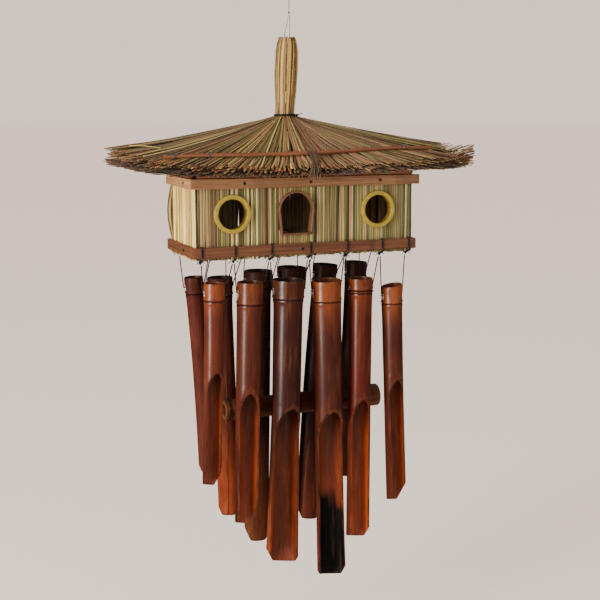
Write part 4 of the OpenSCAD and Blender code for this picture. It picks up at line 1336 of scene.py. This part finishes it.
def tube_shape(tube, seed):
    """A bamboo tube with its top at the origin and its scoop towards -Y."""
    back = tube.name.startswith("b")
    length, scoop, keep, char = tube.length, tube.scoop, tube.keep, tube.char
    bow = -tube.bow if back else tube.bow
    face = math.radians(tube.face)
    foot_slant = 0.0 if back else FOOT_SLANT
    foot_turn = face - FOOT_TURN - (math.pi if back else 0)
    r, r_top, r_foot = tube.d / 2, tube.d_top / 2, tube.d_foot / 2
    wall = max(MIN_WALL, tube.d * TUBE_WALL)
    joint = tube.grooves[-1]
    run = SCOOP_SLANT * r
    knee = scoop + SCOOP_KNEE * run

    def outer_r(z):
        base = np.interp(
            -z, [0, HOLE_DROP * 0.8, joint + 6, joint + 16, scoop, length],
            [r_top, r_top, r + 0.25, r, r - 0.2, r_foot],
        )
        for g in tube.grooves:
            for height, below, width in GROOVE_PROFILE:
                base = base + height * np.exp(-(((-z - g - below) / width) ** 2))
        return base - 0.45 * np.exp(-((z / 0.7) ** 2))

    def cut_y(z):
        """How far back the scoop's cut lies at height z."""
        ends = [-r - 0.001, -(keep + SCOOP_EASE) * r, -keep * r]
        return np.interp(-z, [scoop, knee, scoop + run], ends)

    inner = r - wall
    # where the cut meets the bore
    z_open = scoop + (knee - scoop) * wall / ((1 - keep - SCOOP_EASE) * r)
    near = [0, 0.35, 0.9, 2, 5, 8]
    fine = sorted({round(g + k, 2) for g in tube.grooves for k in GROOVE_ROWS})
    fine = [g for g in fine if g > 8.5]
    upper = np.linspace(joint + 7, scoop - 3, 12)
    slope = scoop + (z_open - scoop) * np.linspace(0, 1, 5)
    mouth = z_open + (scoop + run - z_open) * np.linspace(0, 1, 10)[1:]
    lower = np.linspace(scoop + run, length - FOOT_SPAN, 12)[1:]
    foot = np.linspace(length - FOOT_SPAN, length, 9)[1:]
    rows = -np.array([*near, *fine, *upper, *slope, *mouth, *lower, *foot])
    first_cut = len(near) + len(fine) + len(upper)
    first_open = first_cut + len(slope) - 1

    def shell(z, radius, opened):
        """Rows of points round a shell, from one edge of the cut to the other."""
        half_angle = np.arccos(np.clip(-cut_y(z) / radius, -1, 1))
        alpha = np.where(opened, half_angle, 0.0)[:, None]
        theta = alpha + (2 * math.pi - 2 * alpha) * np.linspace(0, 1, COLUMNS + 1)
        lumps = 0.14 * np.sin(2 * theta + 1.3 * seed)
        lumps += 0.08 * np.sin(3 * theta + seed + z[:, None] / 60)
        rr = radius[:, None] + lumps * np.where(alpha > 0, 0.4, 1)
        x, y = rr * np.sin(theta), -rr * np.cos(theta)
        zz = np.repeat(z[:, None], COLUMNS + 1, 1)
        zz = zz + tube.slant * x * np.clip(1 + zz / 20, 0, 1)
        across = x * math.cos(foot_turn) - y * math.sin(foot_turn)
        away = x * math.sin(foot_turn) + y * math.cos(foot_turn)
        corner = math.tan(foot_slant) * (r_foot - away)
        for side, cut_share in zip((-1, 1), tube.chamfers):
            reach = np.clip(side * across - r_foot + tube.d_foot * cut_share, 0, None)
            corner = corner + CHAMFER_SLOPE / math.cos(foot_slant) * reach
        bend = CHAMFER_SPAN - length
        bent = bend + (zz - bend) * (CHAMFER_SPAN - corner) / CHAMFER_SPAN
        zz = np.where(zz < bend, bent, zz)
        x = x - bow * np.sin(math.pi * zz / length)
        c, s = math.cos(face), math.sin(face)
        return np.stack([x * c - y * s, x * s + y * c, zz], -1), theta

    shape = Shape()
    index = np.arange(len(rows))
    outer_points, theta = shell(rows, outer_r(rows), index >= first_cut)
    depth = -rows[:, None] / length + 0 * theta
    shade = np.interp(depth, [0, 0.05, 0.10, 0.18, 1], [0, 0.05, 0.55, 1, 1])
    shade = np.clip(shade + 0.16 * wave(theta * 1.6 + depth * 9, seed) * (1 - depth), 0, 1)
    tint = between(tube.top_tint, tube.body_tint, shade)
    low = np.clip((depth - 0.55) / 0.3 + 0.12 * wave(theta * 2 + depth * 6, seed + 1), 0, 1)
    tint = tint * (1 - low[..., None]) + tube.foot_tint * low[..., None]
    groove_dark = sum(np.exp(-((-rows - g - 0.2) ** 2)) for g in tube.grooves)
    tint = tint * (1 - 0.86 * np.clip(groove_dark, 0, 1)[:, None, None])
    end_dark = np.exp(-((rows / 1.2) ** 2)) + np.exp(-(((rows + length) / 2.0) ** 2))
    tint = tint * (1 - 0.35 * np.clip(end_dark, 0, 1)[:, None, None])

    def add(points, tint, slot=0, at=None):
        """Adds a face of the tube, with the grain of its own places or of others."""
        grain = (points if at is None else at) + [13.0 * seed, 0, 0]
        shape.grid(points, tint, grain, wrap=False, caps=False, slot=slot)

    add(outer_points, tint)

    # the bore, from under the closed joint down to the foot
    bore_top = joint + SEPTUM_T + 1.5
    bore_rows = np.concatenate([[-bore_top], rows[-rows > bore_top + 1]])
    bore_index = len(rows) - len(bore_rows) + 1
    opened = np.concatenate([[False], index[bore_index:] > first_open])
    opened_now = np.concatenate([[False], index[bore_index:] >= first_open])
    bore_r = np.interp(-bore_rows, [scoop, length], [inner - 0.2, r_foot - wall])
    bore_points, bore_theta = shell(bore_rows, bore_r, opened_now)
    bore_depth = -bore_rows[:, None] / length + 0 * bore_theta
    shaded = np.clip(1 - (bore_depth - scoop / length) * 4, 0, 1)
    bore_tint = INSIDE * (1 - 0.75 * shaded[..., None])
    bore_tint = bore_tint * (1 + 0.2 * wave(bore_theta * 3 + bore_depth * 5, seed + 3)[..., None])
    if char:
        slope_down = -0.05 * np.cos(bore_theta / 2)
        burnt = bore_depth - char + slope_down + 0.012 * wave(bore_theta * 9, seed + 4)
        burnt = np.clip(burnt / 0.03, 0, 1)[..., None]
        bore_tint = bore_tint * (1 - burnt) + CHAR * burnt
    bore_tint = bore_tint * INSIDE_SHADE.get(tube.name, 1.0)
    add(bore_points[:, ::-1], bore_tint[:, ::-1], 1)

    def disc(rim, z, up):
        """Closes a round rim with a disc at height z, facing up or down. Its colour is painted at
        half the inside's and darker towards its middle: painted shade in the hollow.
        """
        centre = np.array([0, 0, z])
        rings = np.stack([rim + (centre - rim) * k for k in (0, 0.5, 0.98)])
        rings[1:, :, 2] = z
        if up:
            rings = rings[:, ::-1]
        add(rings, np.outer([0.5, 0.4, 0.35], INSIDE), 1)
        middle = np.stack([rings[2], np.repeat(centre[None], len(rim), 0)])
        add(middle, INSIDE * 0.35, 1, at=rings[1:])

    disc(bore_points[0], -bore_top - 0.3, False)

    # the open cup above the joint
    cup_rows = -np.array([0, 0.5, 1.5, 4, 8, 12, joint - 1])
    cup_r = r_top - wall + np.interp(-cup_rows, [0, 0.5, joint], [0.3, 0, -0.4])
    cup_points, _ = shell(cup_rows, cup_r, np.zeros(len(cup_rows), bool))
    cup_shade = np.linspace(0, 1, len(cup_rows))
    add(cup_points[:, ::-1], between(tube.top_tint * 0.7, BACK_TOP_CHAR_AND_SHADE * 0.5, cup_shade), 1)
    disc(cup_points[-1], -joint + 1, True)
    add(np.stack([cup_points[0], outer_points[0]]), tube.top_tint * 0.8, 2)

    # cut faces: the flat at the scoop's start, both long edges, and the foot
    flat = np.arange(first_cut, first_open + 1)
    left, right = outer_points[flat, 0], outer_points[flat, -1]
    middle = (left + right) / 2
    middle[-1] = bore_points[len(bore_rows) - (len(rows) - first_open), 0]
    add(np.stack([left, middle, right], 1), CUT, 2)
    open_rows = np.arange(first_open, len(rows))
    bore_open = open_rows - len(rows) + len(bore_rows)
    for column in (0, -1):
        edge = np.stack([outer_points[open_rows, column], bore_points[bore_open, column]], 1)
        if column == 0:
            edge = edge[:, ::-1]
        tone = np.interp(open_rows, [open_rows[0], open_rows[-1]], [1.0, 0.8])
        edge_tint = np.outer(tone, CUT)
        if char:
            burnt = np.clip((-rows[open_rows] / length - char - 0.12) / 0.05, 0, 1)[:, None]
            edge_tint = edge_tint * (1 - 0.8 * burnt)
        add(edge, edge_tint, 2)
    add(np.stack([outer_points[-1], bore_points[-1]]), CUT * 0.7, 2)
    return shape


def turn(points, degrees, axis):
    """Points turned about Z or Y."""
    c, s = math.cos(math.radians(degrees)), math.sin(math.radians(degrees))
    x, y, z = points.T
    if axis == "z":
        return np.stack([x * c - y * s, x * s + y * c, z], 1)
    return np.stack([x * c + z * s, y, z * c - x * s], 1)


def cord_holes(obj, tube, place):
    """Drills the two holes that the sling runs through."""
    reach = tube.d_top / 2 + 3
    path = np.linspace([-reach, 0, -HOLE_DROP], [reach, 0, -HOLE_DROP], 4)
    drill = Shape()
    drill.bar(path, oval(HOLE_D, HOLE_D, 16), BACK_TOP_CHAR_AND_SHADE, 0.5)
    mesh = bpy.data.meshes.new("drill")
    world = (turn(drill.points[0], -tube.lean, "y") + place + LEFT) * MM
    mesh.from_pydata(world.tolist(), [], drill.faces)
    cutter = bpy.data.objects.new("drill", mesh)
    bpy.context.scene.collection.objects.link(cutter)
    cut = obj.modifiers.new("holes", "BOOLEAN")
    cut.operation = "DIFFERENCE"
    cut.solver = "EXACT"
    cut.object = cutter
    bpy.context.view_layer.update()
    evaluated = obj.evaluated_get(bpy.context.evaluated_depsgraph_get())
    drilled = bpy.data.meshes.new_from_object(evaluated)
    obj.modifiers.clear()
    obj.data = drilled
    drilled.set_sharp_from_angle(angle=SHARP_ANGLE)
    bpy.data.objects.remove(cutter)


def on_tube(tube, dx, dz):
    """A place beside a hung tube, from the middle of its top and along its own lean."""
    c, s = math.cos(math.radians(tube.lean)), math.sin(math.radians(tube.lean))
    return np.array([tube.t + dx * c - dz * s, dx * s + dz * c - tube.drop])


def sling_half(tube, knot_x, side):
    """One side of a sling: from a knot, past the tube's rim and into its hole."""
    out = tube.d_top / 2 + CORD_D / 2 + 0.6
    start = np.array([knot_x - 1.1 * side, KNOT_Z - KNOT_R - 0.3 - CORD_D / 3])
    above = on_tube(tube, side * out, 3 - HOLE_DROP)
    rim = on_tube(tube, side * out, 1)
    straight = start[0] + (above[0] - start[0]) * (rim[1] - start[1]) / (above[1] - start[1])
    rim[0] = min(rim[0], straight) if side < 0 else max(rim[0], straight)
    return [
        start, rim, above, on_tube(tube, side * (out - 0.4), 0.8 - HOLE_DROP),
        on_tube(tube, side * (out - 1.4), -HOLE_DROP),
    ]


for index, tube in enumerate(TUBES):
    name = tube.name
    back = name.startswith("b")
    number = int(name[1])
    body = f"{'back' if back else 'front'}_tube_{number}"
    y = ROW_Y if back else -ROW_Y
    place = np.array([tube.t, y, -tube.drop])
    shape = tube_shape(tube, 200 + 17 * index)
    if back:
        shape.points = [turn(points, 180, "z") for points in shape.points]
    shape.points = [turn(points, -tube.lean, "y") + place for points in shape.points]
    looks = [CULM_DULL if back else CULM, CULM_INSIDE, CULM_CUT]
    obj = shape.finish(
        f"tube_{name}_bamboo", body, LEFT, "stained_bamboo", [f"tube_{name}"], looks, weld=True
    )
    cord_holes(obj, tube, place)
    sling = Shape()
    first = sling_half(tube, LASHING_X[number - 1], -1)
    last = sling_half(tube, LASHING_X[number], 1)
    route = [(x, y, z) for x, z in first + last[::-1]]
    add_cord(sling, route, CORD_D, BLACK, 0.11 * index)
    sling.finish(f"sling_{name}_cord", body, LEFT, "black_cord", [f"sling_{name}"])

# ---------- floor and light ----------

FLOOR_DROP = 0.10
FLOOR_REACH = 40.0
FLOOR_TINT = (0.5, 0.467, 0.434, 1)
FLOOR_GLOW, FLOOR_GLOW_STRENGTH = (1.0, 0.78, 0.632, 1), 0.88
SKY_TINT, SKY_STRENGTH = (1.0, 0.965, 0.925, 1), 0.62
# what reflections and the camera see in the sky's place
OTHER_SKIES = (
    ("Is Glossy Ray", (1.0, 0.95, 0.9, 1), 0.10),
    ("Is Camera Ray", (1.0, 0.815, 0.695, 1), 1.25),
)
# name, place, height of the aim above the chime's middle, size, power, colour
LIGHTS = (
    ("key", (-1.8, -0.75, 0.28), 0.5, (0.55, 2.2), 84, (1.0, 0.95, 0.88)),
    ("fill", (0.6, -1.9, 0.3), 0.0, (1.4, 1.4), 5, (0.94, 0.97, 1.0)),
)

floor_mesh = bpy.data.meshes.new("floor")
corners = [(x * FLOOR_REACH, y * FLOOR_REACH, 0) for x, y in ((-1, -1), (1, -1), (1, 1), (-1, 1))]
floor_mesh.from_pydata(corners, [], [(0, 1, 2, 3)])
floor = bpy.data.objects.new("floor", floor_mesh)
floor.location.z = cad_low.z - FLOOR_DROP
bpy.context.scene.collection.objects.link(floor)
floor_look = bpy.data.materials.new("floor")
floor_look.use_nodes = True
floor_shader = floor_look.node_tree.nodes["Principled BSDF"]
floor_shader.inputs["Base Color"].default_value = FLOOR_TINT
floor_shader.inputs["Roughness"].default_value = 0.95
floor_shader.inputs["Specular IOR Level"].default_value = 0.0
floor_shader.inputs["Emission Color"].default_value = FLOOR_GLOW
floor_shader.inputs["Emission Strength"].default_value = FLOOR_GLOW_STRENGTH
floor.visible_glossy = False
floor_mesh.materials.append(floor_look)

# the sky lights the chime softly, is dim in reflections as a studio is, and has the
# floor's colour where it is seen
world = bpy.data.worlds.new("studio")
bpy.context.scene.world = world
world.use_nodes = True
world_nodes, world_links = world.node_tree.nodes, world.node_tree.links
path_node = world_nodes.new("ShaderNodeLightPath")
light = world_nodes["Background"]
light.inputs["Color"].default_value = SKY_TINT
light.inputs["Strength"].default_value = SKY_STRENGTH
for ray, colour, strength in OTHER_SKIES:
    sky = world_nodes.new("ShaderNodeBackground")
    sky.inputs["Color"].default_value = colour
    sky.inputs["Strength"].default_value = strength
    choose = world_nodes.new("ShaderNodeMixShader")
    world_links.new(path_node.outputs[ray], choose.inputs[0])
    world_links.new(light.outputs[0], choose.inputs[1])
    world_links.new(sky.outputs[0], choose.inputs[2])
    light = choose
world_links.new(light.outputs[0], world_nodes["World Output"].inputs["Surface"])


centre = (cad_low + cad_high) / 2
for name, place, aim_up, size, power, colour in LIGHTS:
    data = bpy.data.lights.new(name, "AREA")
    data.shape = "RECTANGLE"
    data.size, data.size_y = size
    data.energy = power
    data.color = colour
    light = bpy.data.objects.new(name, data)
    light.location = place
    aim = centre + Vector((0, 0, aim_up)) - Vector(place)
    light.rotation_euler = aim.to_track_quat("-Z", "Y").to_euler()
    bpy.context.scene.collection.objects.link(light)
